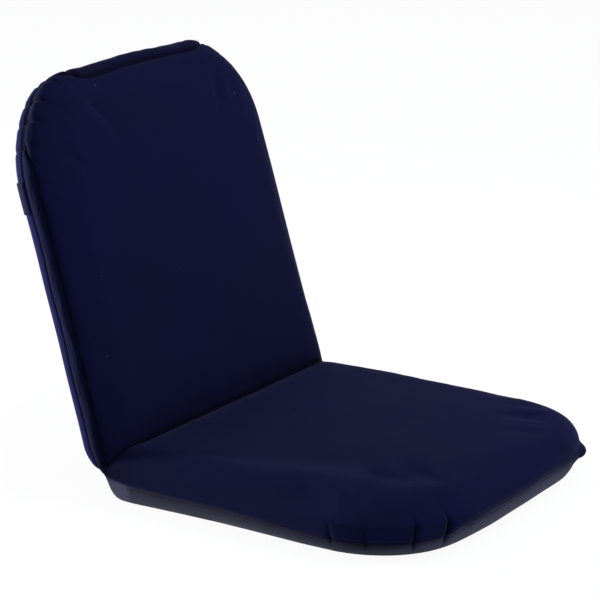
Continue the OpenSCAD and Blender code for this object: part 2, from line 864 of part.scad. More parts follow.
module zip_slider() {
    inner = zip_tooth[0] + 2 * zip_spine + 2 * layer_gap;
    deep = zip_tooth[2] + layer_gap / 3;
    ear_x = slider_start + slider_size[0] / 2;
    color(steel) on_back() difference() {
        union() {
            translate([slider_start, zip_place - slider_size[1] / 2, slider_top])
                cube([slider_size[0], slider_size[1], slider_wall + layer_gap + deep]);
            for (side = [-1, 1])
                translate([ear_x - slider_ear / 2,
                    zip_place + side * (pull_size[0] / 2 - slider_wall / 2 - layer_gap)
                        - slider_wall / 2, slider_top - slider_ear])
                    cube([slider_ear, slider_wall, slider_ear + layer_gap]);
            translate([ear_x, zip_place, slider_top - slider_ear / 2]) rotate([90, 0, 0])
                cylinder(r = pull_pin, h = pull_size[0] - 2 * layer_gap, center = true);
        }
        translate([slider_start - overrun, zip_place - inner / 2, slider_top + slider_wall])
            cube([slider_size[0] + 2 * overrun, inner, deep + overrun]);
    }
}

// Pull, lying along the zip from its pin
module zip_pull() {
    ear_x = slider_start + slider_size[0] / 2;
    eye = pull_pin + run_gap;
    wide = pull_size[0] - 2 * slider_wall - 4 * layer_gap;
    color(steel) on_back() translate([ear_x, zip_place, slider_top - slider_ear / 2])
        rotate([90, 0, 0]) linear_extrude(wide, center = true) difference() {
            union() {
                circle(eye + pull_size[2] / 2);
                translate([-pull_size[1], -pull_size[2] / 2])
                    square([pull_size[1], pull_size[2]]);
            }
            circle(eye);
        }
}

module seat_cover() { color(navy) pad_cover(false); }
module seat_skirt() { color(grey_cloth) pad_skirt(false); }
module seat_base_panel() { color(grey_cloth) pad_sole(false); }
module seat_top_foam() { color(foam_white) top_foam(false); }
module seat_edge_foam() { color(foam_white) edge_foam(false); }
module seat_core_foam() { color(foam_white) core_foam(false); }
module seat_bottom_foam() { color(foam_white) bottom_foam(false); }
module seat_frame_tube() { color(steel) frame_tube(false); }
module seat_cross_bar() { color(steel) cross_bar(false); }
module seat_webbing() { color(black_web) support_webbing(false); }
module seat_frame_rivets() { color(steel) frame_rivets(false); }
module back_cover() { color(navy) pad_cover(true); }
module back_rear_band() { color(navy) pad_skirt(true); }
module back_rear_panel() { color(navy) pad_sole(true); }
module back_front_foam() { color(foam_white) top_foam(true); }
module back_edge_foam() { color(foam_white) edge_foam(true); }
module back_core_foam() { color(foam_white) core_foam(true); }
module back_rear_foam() { color(foam_white) bottom_foam(true); }
module back_frame_tube() { color(steel) frame_tube(true); }
module back_cross_bar() { color(steel) cross_bar(true); }
module back_webbing() { color(black_web) support_webbing(true); }
module back_frame_rivets() { color(steel) frame_rivets(true); }

seat_cover();
seat_skirt();
seat_base_panel();
seat_top_foam();
seat_edge_foam();
seat_core_foam();
seat_bottom_foam();
seat_frame_tube();
seat_cross_bar();
seat_webbing();
seat_hinge_arm(1);  // seat_hinge_arm_left
seat_hinge_arm(-1);  // seat_hinge_arm_right
seat_frame_rivets();
crease_foam();
crease_cover();
hinge_gusset();
back_cover();
back_rear_band();
back_rear_panel();
back_front_foam();
back_edge_foam();
back_core_foam();
back_rear_foam();
back_frame_tube();
back_cross_bar();
back_webbing();
back_hinge_plates(1);  // back_hinge_plates_left
back_hinge_plates(-1);  // back_hinge_plates_right
back_plate_spacers();
back_frame_rivets();
pivot_rivet(1);  // pivot_rivet_left
pivot_rivet(-1);  // pivot_rivet_right
pivot_washers();
pawl_rivets();
pawl_springs();
pawl(1);  // pawl_left
pawl(-1);  // pawl_right
carry_strap();
zip_tape();
zip_teeth();
zip_end_stops();
zip_slider();
zip_pull();
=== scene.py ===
import json
import math
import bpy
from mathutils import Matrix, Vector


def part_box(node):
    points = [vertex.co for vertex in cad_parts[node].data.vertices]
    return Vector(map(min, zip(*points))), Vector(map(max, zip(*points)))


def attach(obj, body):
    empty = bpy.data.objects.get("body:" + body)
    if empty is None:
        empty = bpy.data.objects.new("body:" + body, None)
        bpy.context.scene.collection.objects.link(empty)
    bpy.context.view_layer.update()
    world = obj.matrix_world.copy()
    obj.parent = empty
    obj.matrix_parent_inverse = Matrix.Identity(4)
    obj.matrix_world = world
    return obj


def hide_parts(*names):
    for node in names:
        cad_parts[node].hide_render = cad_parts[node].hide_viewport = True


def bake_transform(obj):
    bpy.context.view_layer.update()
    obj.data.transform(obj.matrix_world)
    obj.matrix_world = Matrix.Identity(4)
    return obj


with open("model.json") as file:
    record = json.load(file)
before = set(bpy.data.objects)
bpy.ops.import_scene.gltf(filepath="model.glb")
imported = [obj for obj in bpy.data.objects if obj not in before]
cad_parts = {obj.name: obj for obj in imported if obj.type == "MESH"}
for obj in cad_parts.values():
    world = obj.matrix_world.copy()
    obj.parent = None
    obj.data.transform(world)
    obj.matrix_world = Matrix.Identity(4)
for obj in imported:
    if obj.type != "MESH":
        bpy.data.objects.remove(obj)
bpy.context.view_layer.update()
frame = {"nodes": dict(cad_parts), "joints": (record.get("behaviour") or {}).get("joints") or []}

from types import SimpleNamespace

import bmesh
import bpy
import numpy as np
from mathutils import Vector, noise
from mathutils.bvhtree import BVHTree

# Lengths are in metres. Each pad is drawn flat, as in the part's source: x
# across the chair, y out from the hinge axis and z towards the sitting side.
recline = next(j for j in frame["joints"] if j["name"] == "recline")
HINGE = Vector(recline["pos_m"])
RAISE = -math.radians(recline["range_deg"][0])      # how far the back is up from flat
HALF_OPEN = (math.pi - RAISE) / 2
cover_low, cover_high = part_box("seat_cover")
HALF_WIDTH = (cover_high.x - cover_low.x) / 2
TOP = 0.020             # level of the sitting face
WIDEST_DROP = 0.006     # how far below the hinge axis a pad is widest
SIDE_DRAW = 0.003       # how far its sides are drawn in, half way out
FAR_BOW = 0.003         # how far its far edge bows out
CLOTH = 0.0012          # thickness of the covers
# Sizes of the two pads. The cover's edge is tucked in to the seam, and sole and base
# are the inset and the level of the flat underside.
SEAT = {
    "length": HINGE.y - cover_low.y,
    "corner": 0.136, "taper": 0.0, "crown": 0.005,
    "tuck": 0.006, "sole": 0.030, "base": -HINGE.z,
}
BACK = {
    "length": 0.483,
    "corner": 0.126, "taper": 0.006, "crown": 0.004, "seam": -0.019,
    "tuck": 0.003, "sole": 0.033, "base": -0.044,
}

# Directions in the chair, seen from the side: along each pad, square to it
# towards the sitter, and the line half way between the pads
SEAT_OUT = Vector((0, -1, 0))
SEAT_UP = Vector((0, 0, 1))
BACK_OUT = Vector((0, math.cos(RAISE), math.sin(RAISE)))
BACK_UP = Vector((0, -math.sin(RAISE), math.cos(RAISE)))
BETWEEN = (SEAT_OUT + BACK_OUT).normalized()
ACROSS_FOLD = (BACK_OUT - SEAT_OUT).normalized()


# Node helpers
def feed(tree, slot, value):
    """Links an input to a socket, or gives it a number, a vector or a colour."""
    if isinstance(value, bpy.types.NodeSocket):
        tree.links.new(value, slot)
    elif slot.type == "RGBA":
        slot.default_value = tuple(value) + (1,)
    else:
        slot.default_value = value


def give(tree, slots, **inputs):
    """Feeds the sockets of these names, which have _ for a space."""
    for name, value in inputs.items():
        feed(tree, slots[name.replace("_", " ")], value)


def add_node(tree, kind, **inputs):
    node = tree.nodes.new("ShaderNode" + kind)
    give(tree, node.inputs, **inputs)
    return node


def calc(tree, operation, a, b=None, clamp=False):
    """The output of a Math node whose inputs are sockets or numbers."""
    node = tree.nodes.new("ShaderNodeMath")
    node.operation, node.use_clamp = operation, clamp
    for slot, value in enumerate((a, b)):
        if value is not None:
            feed(tree, node.inputs[slot], value)
    return node.outputs[0]


def times(tree, a, b):
    return calc(tree, "MULTIPLY", a, b)


def plus(tree, a, b):
    return calc(tree, "ADD", a, b)


def minus(tree, a, b, clamp=False):
    return calc(tree, "SUBTRACT", a, b, clamp)


def mix_colour(tree, share, a, b):
    """A mix of two colours, by the share of the second."""
    node = tree.nodes.new("ShaderNodeMix")
    node.data_type = "RGBA"
    for slot, value in ((0, share), (6, a), (7, b)):
        feed(tree, node.inputs[slot], value)
    return node.outputs[2]


def noise_of(tree, vector, scale, detail=2.0, roughness=0.5):
    return add_node(tree, "TexNoise", Vector=vector, Scale=scale, Detail=detail,
                    Roughness=roughness).outputs["Fac"]


def remap(tree, value, low, high, to_low=0.0, to_high=1.0):
    return add_node(tree, "MapRange", Value=value, From_Min=low, From_Max=high,
                    To_Min=to_low, To_Max=to_high).outputs["Result"]


def stretched(tree, vector, scale):
    return add_node(tree, "Mapping", Vector=vector, Scale=scale).outputs["Vector"]


def bump(tree, height, distance, strength, **normal):
    """The normal of a surface with relief, on a normal if one is given."""
    return add_node(tree, "Bump", Height=height, Distance=distance, Strength=strength,
                    **normal).outputs["Normal"]


def attribute_of(tree, name):
    node = tree.nodes.new("ShaderNodeAttribute")
    node.attribute_name = name
    return node.outputs["Fac"]


def new_material(name, roughness, metallic=0.0):
    """A material with one Principled shader: itself, its nodes, the shader and the
    outputs that say where on the piece it is."""
    material = bpy.data.materials.new(name)
    material.use_nodes = True
    tree = material.node_tree
    shader = tree.nodes["Principled BSDF"]
    give(tree, shader.inputs, Roughness=roughness, Metallic=metallic)
    return material, tree, shader, tree.nodes.new("ShaderNodeTexCoord").outputs


def new_group(name, inputs, outputs):
    """A shader node group and its two ends. An input without a number is a vector."""
    tree = bpy.data.node_groups.new(name, "ShaderNodeTree")
    for socket, value in inputs.items():
        kind = "NodeSocketVector" if value is None else "NodeSocketFloat"
        made = tree.interface.new_socket(socket, in_out="INPUT", socket_type=kind)
        if value is not None:
            made.default_value = value
    for socket in outputs:
        tree.interface.new_socket(socket, in_out="OUTPUT", socket_type="NodeSocketFloat")
    return tree, tree.nodes.new("NodeGroupInput").outputs, tree.nodes.new(
        "NodeGroupOutput").inputs


def use_group(tree, group, **inputs):
    node = tree.nodes.new("ShaderNodeGroup")
    node.node_tree = group
    give(tree, node.inputs, **inputs)
    return node.outputs


# Node groups
SLUB = 0.35     # how uneven the threads are


def plain_weave_group():
    """Crossing threads over and under each other, from a map in metres. Threads is how
    many there are in a metre."""
    tree, given, made = new_group(
        "plain_weave", {"Vector": None, "Threads": 1400.0}, ("Height", "Tone"))
    scaled = add_node(tree, "VectorMath")
    scaled.operation = "SCALE"
    give(tree, scaled.inputs, Vector=given["Vector"], Scale=given["Threads"])
    split = add_node(tree, "SeparateXYZ", Vector=scaled.outputs[0])
    u, v = [times(tree, split.outputs[n], math.pi) for n in (0, 1)]
    over = times(tree, calc(tree, "SINE", u), calc(tree, "SINE", v))
    warp = calc(tree, "ABSOLUTE", calc(tree, "SINE", u))
    weft = calc(tree, "ABSOLUTE", calc(tree, "SINE", plus(tree, v, math.pi / 2)))
    lift = plus(tree, times(tree, over, 0.25), 0.5)
    ridge = times(tree, calc(tree, "MAXIMUM", warp, weft), 0.5)
    slubs = [noise_of(tree, stretched(tree, given["Vector"], scale), 1.0, 3.0)
             for scale in ((320.0, 9.0, 1.0), (9.0, 320.0, 1.0))]
    slub = times(tree, minus(tree, plus(tree, *slubs), 1.0), SLUB)
    give(tree, made, Height=plus(tree, lift, ridge), Tone=plus(tree, slub, 0.5))
    return tree


def cloth_wear_group():
    """Broad shade changes, pressed and rubbed places, and specks of lint."""
    tree, given, made = new_group("cloth_wear", {"Vector": None}, ("Shade", "Rumple", "Lint"))
    vector = given["Vector"]
    broad = noise_of(tree, vector, 7.0, 3.0, 0.55)
    speck = add_node(tree, "TexVoronoi", Vector=vector, Scale=55.0)
    near = remap(tree, speck.outputs["Distance"], 0.05, 0.02)
    chosen = remap(tree, noise_of(tree, vector, 31.0, 0.0), 0.63, 0.66)
    give(tree, made, Shade=remap(tree, broad, 0.3, 0.7), Lint=times(tree, near, chosen),
         Rumple=noise_of(tree, vector, 26.0, 3.0))
    return tree


HEM_STITCHES, PANEL_STITCHES = 0.0032, 0.0034      # how far they are from their seam
STITCHES_PER_METRE = 310.0
STITCH_WIDTHS = (0.00055, 0.0003)   # half of it, where the mask is none and full
STITCH_LENGTHS = (0.38, 0.33)       # the same along it, in shares of a step


def stitch_group():
    """Rows of stitches at the hem and beside the back's panel seam, from the lengths
    along and away from a seam that the cloth's vertices carry."""
    tree, given, made = new_group(
        "stitches", {"Along": 0.0, "Hem": 1.0, "Panel": 1.0}, ("Mask",))
    rows = []
    for name, at in (("Hem", HEM_STITCHES), ("Panel", PANEL_STITCHES)):
        off = minus(tree, given[name], at)
        rows.append(remap(tree, calc(tree, "ABSOLUTE", off), *STITCH_WIDTHS))
    step = calc(tree, "FRACT", times(tree, given["Along"], STITCHES_PER_METRE))
    off = calc(tree, "ABSOLUTE", minus(tree, step, 0.5))
    dash = remap(tree, off, *STITCH_LENGTHS)
    give(tree, made, Mask=times(tree, calc(tree, "MAXIMUM", *rows), dash))
    return tree


PLAIN_WEAVE = plain_weave_group()
CLOTH_WEAR = cloth_wear_group()
STITCHES = stitch_group()


# Materials
GRIP_DOT_TURNS = 1750.0     # radians of the dots' pattern in a metre
LINT = (0.3, 0.3, 0.36)


def grip_dots(tree, uv):
    """A mask of small raised dots in a slanting grid."""
    split = add_node(tree, "SeparateXYZ", Vector=uv).outputs
    waves = []
    for kind in ("ADD", "SUBTRACT"):
        turn = times(tree, calc(tree, kind, split[0], split[1]), GRIP_DOT_TURNS)
        waves.append(calc(tree, "SINE", turn))
    return remap(tree, times(tree, *waves), 0.35, 0.6)


def cloth_material(name, dark, light, threads, roughness, sheen, sheen_tint, weave_depth,
                   coordinates="UV", sewn=None, dots=None):
    """Woven cloth: threads, slubs, broad shade changes, soft rumples and lint. Sewn
    cloth has stitches of a colour and painted shade down in its folds, seams and
    crease, and dots of a colour may be printed on it."""
    material, tree, shader, place = new_material(name, roughness)
    give(tree, shader.inputs, Sheen_Weight=sheen, Sheen_Roughness=0.3, Sheen_Tint=sheen_tint,
         Specular_IOR_Level=0.03)
    weave = use_group(tree, PLAIN_WEAVE, Vector=place[coordinates], Threads=threads)
    wear = use_group(tree, CLOTH_WEAR, Vector=place["Object"])
    tone = plus(tree, weave["Tone"], times(tree, wear["Shade"], 0.35))
    tone = minus(tree, tone, 0.17, clamp=True)
    colour = mix_colour(tree, tone, dark, light)
    colour = mix_colour(tree, times(tree, wear["Lint"], 0.35), colour, LINT)
    height = weave["Height"]
    if dots:
        printed = grip_dots(tree, place["UV"])
        colour = mix_colour(tree, times(tree, printed, 0.7), colour, dots)
        height = plus(tree, height, times(tree, printed, 2.5))
    if sewn:
        mask = use_group(tree, STITCHES, **{
            key: attribute_of(tree, key.lower()) for key in ("Along", "Hem", "Panel")})["Mask"]
        colour = mix_colour(tree, mask, colour, sewn)
        height = plus(tree, height, times(tree, mask, 2.0))
        # Painted shade: the colour is darkened towards a dim copy of the dark colour as far as
        # the vertices' fold_shade says, in gathers, seams, crease and band.
        deep = times(tree, attribute_of(tree, "fold_shade"), 0.8)
        colour = mix_colour(tree, deep, colour, tuple(c * 0.12 for c in dark))
    rough = remap(tree, wear["Shade"], 0.0, 1.0, roughness - 0.05, roughness + 0.05)
    soft = bump(tree, wear["Rumple"], 0.0008, 0.6)
    normal = bump(tree, height, weave_depth, 0.5, Normal=soft)
    give(tree, shader.inputs, Base_Color=colour, Roughness=rough, Normal=normal)
    return material


def foam_material():
    """Open-cell foam, cream coloured, with pores darkened by painted shade and slightly yellowed
    places.
    """
    material, tree, shader, place = new_material("cushion_foam", 0.9)
    pores = add_node(tree, "TexVoronoi", Vector=place["Object"], Scale=700.0)
    aged = remap(tree, noise_of(tree, place["Object"], 12.0, 3.0), 0.35, 0.7)
    colour = mix_colour(tree, aged, (0.78, 0.74, 0.6), (0.66, 0.57, 0.38))
    # painted shade in the pores
    dark = remap(tree, pores.outputs["Distance"], 0.0, 0.35, 0.55, 0.0)
    colour = mix_colour(tree, dark, colour, (0.4, 0.34, 0.22))
    normal = bump(tree, pores.outputs["Distance"], 0.0006, 0.7)
    give(tree, shader.inputs, Base_Color=colour, Normal=normal)
    return material


def metal_material(name, base, worn, roughness, metallic, scale, bump_depth=0.00003):
    """Plated or painted steel, with cloudy finish, fine scratches and scuffs."""
    material, tree, shader, place = new_material(name, roughness, metallic)
    cloud = noise_of(tree, place["Object"], scale, 4.0, 0.6)
    along = stretched(tree, place["Object"], (30.0, 900.0, 900.0))
    scratch = noise_of(tree, along, 1.0)
    share = times(tree, remap(tree, cloud, 0.4, 0.75),
                  remap(tree, scratch, 0.35, 0.65, 0.3, 1.0))
    rough = remap(tree, share, 0.0, 1.0, roughness - 0.08, roughness + 0.14)
    give(tree, shader.inputs, Base_Color=mix_colour(tree, share, base, worn), Roughness=rough,
         Normal=bump(tree, scratch, bump_depth, 0.4), Specular_IOR_Level=0.3 + 0.2 * metallic)
    return material


NAVY_CLOTH = cloth_material(
    "navy_canvas", (0.0023, 0.0026, 0.0160), (0.0038, 0.0044, 0.0260), 1500.0, 0.9,
    0.08, (0.4, 0.42, 0.95), 0.00012, sewn=(0.006, 0.007, 0.03))
# The back's rear cloth is the navy and its stitches lightened about 2.4 times: painted rim light
# on the rear band.
REAR_CLOTH_PAINTED_LIGHT = cloth_material(
    "navy_rear_canvas_painted_rim_light", (0.0052, 0.0058, 0.034), (0.0088, 0.0100, 0.056), 1500.0, 0.9,
    0.08, (0.4, 0.42, 0.95), 0.00012, sewn=(0.010, 0.011, 0.045))
GREY_CLOTH = cloth_material(
    "grey_coated_cloth", (0.024, 0.025, 0.050), (0.038, 0.040, 0.072), 1100.0, 0.8,
    0.06, (0.8, 0.8, 0.9), 0.00016, sewn=(0.012, 0.013, 0.03), dots=(0.11, 0.112, 0.14))
NAVY_WEBBING = cloth_material(
    "navy_webbing", (0.0042, 0.0046, 0.022), (0.0078, 0.0085, 0.036), 620.0, 0.8,
    0.1, (0.5, 0.5, 0.9), 0.0003)
BLACK_WEBBING = cloth_material(
    "black_webbing", (0.008, 0.008, 0.009), (0.02, 0.02, 0.022), 620.0, 0.8,
    0.08, (0.7, 0.7, 0.75), 0.0003, coordinates="Object")
ZIP_TAPE = cloth_material(
    "zip_tape_cloth", (0.004, 0.0045, 0.011), (0.008, 0.0085, 0.02), 1800.0, 0.82,
    0.06, (0.6, 0.6, 0.8), 0.0001)
FOAM = foam_material()
FRAME_PAINT = metal_material(
    "black_painted_tube", (0.02, 0.02, 0.022), (0.06, 0.06, 0.065), 0.42, 0.0, 40.0)
ZINC = metal_material(
    "zinc_plated_steel", (0.55, 0.56, 0.58), (0.38, 0.38, 0.36), 0.34, 1.0, 60.0)
ZIP_PLASTIC = metal_material(
    "moulded_zip_teeth", (0.012, 0.013, 0.024), (0.03, 0.03, 0.045), 0.4, 0.0, 90.0, 0.00002)
ZIP_METAL = metal_material(
    "lacquered_zip_slider", (0.05, 0.052, 0.075), (0.22, 0.22, 0.24), 0.35, 0.9, 150.0)


def new_object(bm, name):
    """A piece made from a bmesh, which is freed."""
    mesh = bpy.data.meshes.new(name)
    bm.to_mesh(mesh)
    bm.free()
    thing = bpy.data.objects.new(name, mesh)
    bpy.context.scene.collection.objects.link(thing)
    return thing


# Camera, lights and floor, fitted to the photograph
CAMERA_TARGET = Vector((-0.0090, 0.0957, 0.2286))
CAMERA_DISTANCE, CAMERA_LENS = 3.242, 155.03
AZIMUTH, ELEVATION, CAMERA_ROLL = -0.985, 0.279, -0.004
FILL_COLOUR, FILL_STRENGTH = (0.93, 0.95, 1.0), 0.5
PAPER_SHARE = 0.93      # how much of the floor is plain white paper where it is seen


def stand(thing, location, target):
    """Puts a camera or lamp at a place, facing a point."""
    bpy.context.scene.collection.objects.link(thing)
    thing.location = location
    way = Vector(target) - thing.location
    thing.rotation_euler = way.to_track_quat("-Z", "Y").to_euler()


def make_camera():
    data = bpy.data.cameras.new("photo_camera")
    data.lens, data.sensor_width = CAMERA_LENS, 36
    camera = bpy.data.objects.new("photo_camera", data)
    away = Vector((math.sin(AZIMUTH) * math.cos(ELEVATION),
                   -math.cos(AZIMUTH) * math.cos(ELEVATION), math.sin(ELEVATION)))
    stand(camera, CAMERA_TARGET + CAMERA_DISTANCE * away, CAMERA_TARGET)
    camera.rotation_euler.rotate_axis("Z", CAMERA_ROLL)
    bpy.context.scene.camera = camera


def make_lamp(name, location, target, size, power, colour=(1, 1, 1)):
    """A round lamp, with its diameter in metres and its power in watts."""
    data = bpy.data.lights.new(name, "AREA")
    data.shape = "DISK"
    data.size, data.energy, data.color = size, power, colour
    stand(bpy.data.objects.new(name, data), location, target)


def show_paper(tree, plain, paper, output, share=1.0):
    """Shows the second shader to the rays to which the background is white paper."""
    path = tree.nodes.new("ShaderNodeLightPath").outputs
    seen = calc(tree, "MAXIMUM", path["Is Camera Ray"], path["Is Glossy Ray"])
    seen = calc(tree, "MAXIMUM", seen, path["Is Transmission Ray"])
    pick = add_node(tree, "MixShader", Fac=times(tree, seen, share))
    tree.links.new(plain.outputs[0], pick.inputs[1])
    tree.links.new(paper.outputs[0], pick.inputs[2])
    tree.links.new(pick.outputs[0], output.inputs["Surface"])


def make_world():
    world = bpy.data.worlds.new("studio")
    world.use_nodes = True
    bpy.context.scene.world = world
    tree = world.node_tree
    tree.nodes.clear()
    fill = add_node(tree, "Background", Color=FILL_COLOUR, Strength=FILL_STRENGTH)
    paper = add_node(tree, "Background", Color=(1, 1, 1), Strength=1.0)
    show_paper(tree, fill, paper, tree.nodes.new("ShaderNodeOutputWorld"))


def make_floor():
    material, tree, shader, place = new_material("studio_floor", 0.7)
    patch = noise_of(tree, place["Object"], 1.5)
    colour = mix_colour(tree, patch, (0.86, 0.86, 0.86), (0.9, 0.9, 0.9))
    give(tree, shader.inputs, Base_Color=colour)
    paper = tree.nodes.new("ShaderNodeEmission")
    show_paper(tree, shader, paper, tree.nodes["Material Output"], PAPER_SHARE)
    bm = bmesh.new()
    bmesh.ops.create_grid(bm, x_segments=8, y_segments=8, size=12)
    floor = new_object(bm, "studio_floor")
    floor.data.materials.append(material)


bpy.context.scene.view_settings.view_transform = "Standard"
make_camera()
make_world()
make_lamp("overhead", (0.6, -0.8, 2.5), (0, 0.05, 0.2), 2.2, 62, (0.80, 0.86, 1.0))
make_lamp("behind", (-0.9, 2.7, 0.4), (0, 0.3, 0.3), 0.6, 150)
make_lamp("front", (1.4, -2.5, 1.4), (0, 0, 0.2), 1.8, 28)
make_floor()


# Shape of a pad, drawn flat
NEAR = 0.026            # how far from the hinge axis the rows start to turn into the fold
INNER = 0.100           # inset of the straight-sided middle of a pad's rows
FLAT = 0.044            # inset at which the underside is level
LEVEL_ROOM = 0.006      # how far inside the turned-down edge the top is level
TURN_IN = 0.004         # how far the cloth turns in behind a seam
ROLL = 0.009            # radius with which the cloth turns into the crease
SLIT = 0.0005           # half the gap between the two faces of the crease
CREASE_WAVE, CREASE_WAVE_SIZE = 0.0009, 0.035   # how uneven its mouth is
CREASE_BOTTOM = 0.012   # level at which it ends, over the hinge axis
OVER_HINGE = 0.0065     # how much higher it ends over the hinges
HINGE_PLACES = (0.183, 0.192, 0.217, 0.224)     # where it rises and falls for that
TUCK_CENTRE = 0.003     # level round which the cloth below the axis turns
# How far the cloth has turned, of 1, where it leaves the tuck, the roll above the
# axis and the round below it
TUCK_TURN, ROLL_TURN, ROUND_TURN = 0.30, 0.72, 0.6

# Rows run from the front of the seat to the top of the back, columns across, and
# rings from the pads' middles down to the seam
COLUMNS, SEAT_ROWS, FOLD_ROWS, BACK_ROWS = 56, 56, 26, 60
INNER_RINGS, COVER_RINGS, PANEL_RING, LOWER_RINGS = 6, 22, 12, 12
ROWS = SEAT_ROWS + FOLD_ROWS + BACK_ROWS
CORNER_SHARE = 0.42     # share of a pad's rows that go round half its corner
FAR_SHARE = 0.40        # share of its columns that lie between its corners
RELAX_ROUNDS = 60


def smoothstep(value, low, high):
    share = np.clip((value - low) / (high - low), 0, 1)
    return share * share * (3 - 2 * share)


def window(value, rise, risen, fall, fallen):
    return smoothstep(value, rise, risen) * (1 - smoothstep(value, fall, fallen))


def bell(value, width):
    return np.exp(-(value / width) ** 2)


def side_x(pad, out, full=1.0):
    """Half width of a pad at a distance out from the hinge axis."""
    share = np.clip(out / pad["length"], 0, 1)
    return HALF_WIDTH - full * (pad["taper"] * share + SIDE_DRAW * np.sin(np.pi * share))


def outline_sizes(pad):
    """Place of a corner's centre, and lengths of a pad's side and corner."""
    corner_y = pad["length"] - pad["corner"] - FAR_BOW
    corner_x = float(side_x(pad, corner_y)) - pad["corner"]
    return corner_y, corner_x, corner_y - NEAR, pad["corner"] * math.pi / 2


def corner_degrees(pad, s):
    _, _, side, arc = outline_sizes(pad)
    return (s - side) / arc * 90


def outline_place(pad, s, inset, full=1.0):
    """Place (x, y) and outward direction at a length s round half the outline."""
    corner_y, corner_x, side, arc = outline_sizes(pad)
    angle = np.clip((s - side) / arc, 0, 1) * np.pi / 2
    far = np.clip((s - side - arc) / corner_x, 0, 1)
    radius = pad["corner"] - inset
    y_side = NEAR + np.minimum(s, side)
    x = side_x(pad, y_side, full) - inset - radius + radius * np.cos(angle)
    round_x = side_x(pad, corner_y, full) - pad["corner"] + radius * np.cos(angle)
    x = np.where(s > side, round_x, x)
    x = np.where(s > side + arc, corner_x * (1 - far), x)
    y = np.where(s > side, corner_y + radius * np.sin(angle), y_side)
    y = y + np.where(s > side + arc, FAR_BOW * full * np.sin(far * np.pi / 2), 0)
    return x, y, np.cos(angle), np.sin(angle)


def crown_of(pad, x, y):
    """Rise of the sitting face over its edges."""
    along = np.clip((y - NEAR) / (pad["length"] - NEAR), 0, 1)
    across = np.clip(1 - (np.abs(x) / HALF_WIDTH) ** 2, 0, 1)
    return pad["crown"] * np.sqrt(across) * np.sin(np.pi * along) ** 0.6


def fold_path(turn, level, x):
    """The section through the fold at a level: how far each row lies across the
    fold plane and out from the hinge axis. turn runs from 0 at the crease to 1."""
    sin_half, cos_half = math.sin(HALF_OPEN), math.cos(HALF_OPEN)
    high = np.maximum(level, 0.001)
    start_p = NEAR * sin_half - level * cos_half
    start_q = NEAR * cos_half + level * sin_half
    # above the axis the two faces roll into a narrow tuck
    roll = ROLL * (high / TOP) ** 0.8
    mouth = high / sin_half - roll * math.tan(HALF_OPEN / 2)
    mouth = mouth + CREASE_WAVE * line_noise(x, CREASE_WAVE_SIZE, 7) * high / TOP
    bottom = CREASE_BOTTOM + OVER_HINGE * window(np.abs(x), *HINGE_PLACES)
    depth = np.clip(mouth - bottom, 0.0003, 0.35 * mouth)
    bend = math.pi / 2 - HALF_OPEN
    swing = np.clip((ROLL_TURN - turn) / (ROLL_TURN - TUCK_TURN), 0, 1) * HALF_OPEN
    roll_p = roll + SLIT - roll * np.sin(bend + swing)
    roll_q = mouth + roll * np.cos(bend + swing)
    deep = np.clip(1 - turn / TUCK_TURN, 0, 1)
    above_p = np.where(turn > TUCK_TURN, roll_p, SLIT * (1 - deep ** 4))
    above_q = np.where(turn > TUCK_TURN, roll_q, mouth - depth * deep)
    line = np.clip((turn - ROLL_TURN) / (1 - ROLL_TURN), 0, 1)
    above_p = above_p + (start_p - above_p) * line
    above_q = above_q + (start_q - above_q) * line
    # below the axis they run round it
    radius = np.maximum(TUCK_CENTRE * sin_half - level, 0.0004)
    angle = np.clip(turn / ROUND_TURN, 0, 1) * bend
    line = np.clip((turn - ROUND_TURN) / (1 - ROUND_TURN), 0, 1)
    below_p = radius * np.sin(angle)
    below_q = TUCK_CENTRE - radius * np.cos(angle)
    below_p = below_p + (start_p - below_p) * line
    below_q = below_q + (start_q - below_q) * line
    share = smoothstep(level, 0.0, 0.008)
    return below_p + (above_p - below_p) * share, below_q + (above_q - below_q) * share


def in_chair(x, part, y, level, turn, fold=None):
    """World places of rows: part is -1 on the seat, 1 on the back and 0 in the fold,
    whose places may be given."""
    y_of = np.where(part == 0, 0, y)
    seat = np.outer(y_of, SEAT_OUT) + np.outer(level, SEAT_UP)
    back = np.outer(y_of, BACK_OUT) + np.outer(level, BACK_UP)
    if fold is None:
        p, q = fold_path(np.abs(turn), level, x)
        fold = np.outer(np.sign(turn) * p, ACROSS_FOLD) + np.outer(q, BETWEEN)
    place = np.where((part < 0)[:, None], seat, np.where((part > 0)[:, None], back, fold))
    place[:, 0] = x
    place[:, 1:] += np.array(HINGE)[1:]
    return place


# Meshes
def in_fixed_order(bm):
    """The same mesh with its faces and edges in an order that no run changes. That
    of an extrusion does, and the cloth simulation follows it."""
    faces = [[v.index for v in face.verts] for face in bm.faces]
    made = bmesh.new()
    verts = [made.verts.new(v.co) for v in bm.verts]
    for face in sorted(faces, key=sorted):
        made.faces.new([verts[n] for n in face])
    bm.free()
    return made


def ringed_grid(columns, rows, rings):
    """A grid with rings of faces round it, each vertex at its column, row and ring."""
    bm = bmesh.new()
    bmesh.ops.create_grid(bm, x_segments=columns, y_segments=rows, size=0.5)
    bmesh.ops.scale(bm, vec=(columns, rows, 1), verts=bm.verts)
    bmesh.ops.translate(bm, vec=(columns / 2, rows / 2, 0), verts=bm.verts)
    rim = [e for e in bm.edges if e.is_boundary]
    for _ in range(rings):
        made = bmesh.ops.extrude_edge_only(bm, edges=rim)["geom"]
        verts = [g for g in made if isinstance(g, bmesh.types.BMVert)]
        bmesh.ops.translate(bm, vec=(0, 0, 1), verts=verts)
        fresh = set(verts)
        rim = [g for g in made if isinstance(g, bmesh.types.BMEdge)
               and g.is_boundary and all(v in fresh for v in g.verts)]
    bm.verts.index_update()
    index = np.rint(np.array([v.co for v in bm.verts])).astype(int)
    return in_fixed_order(bm), index[:, 0], index[:, 1], index[:, 2]


def set_places(bm, places):
    for vert, place in zip(bm.verts, places):
        vert.co = place


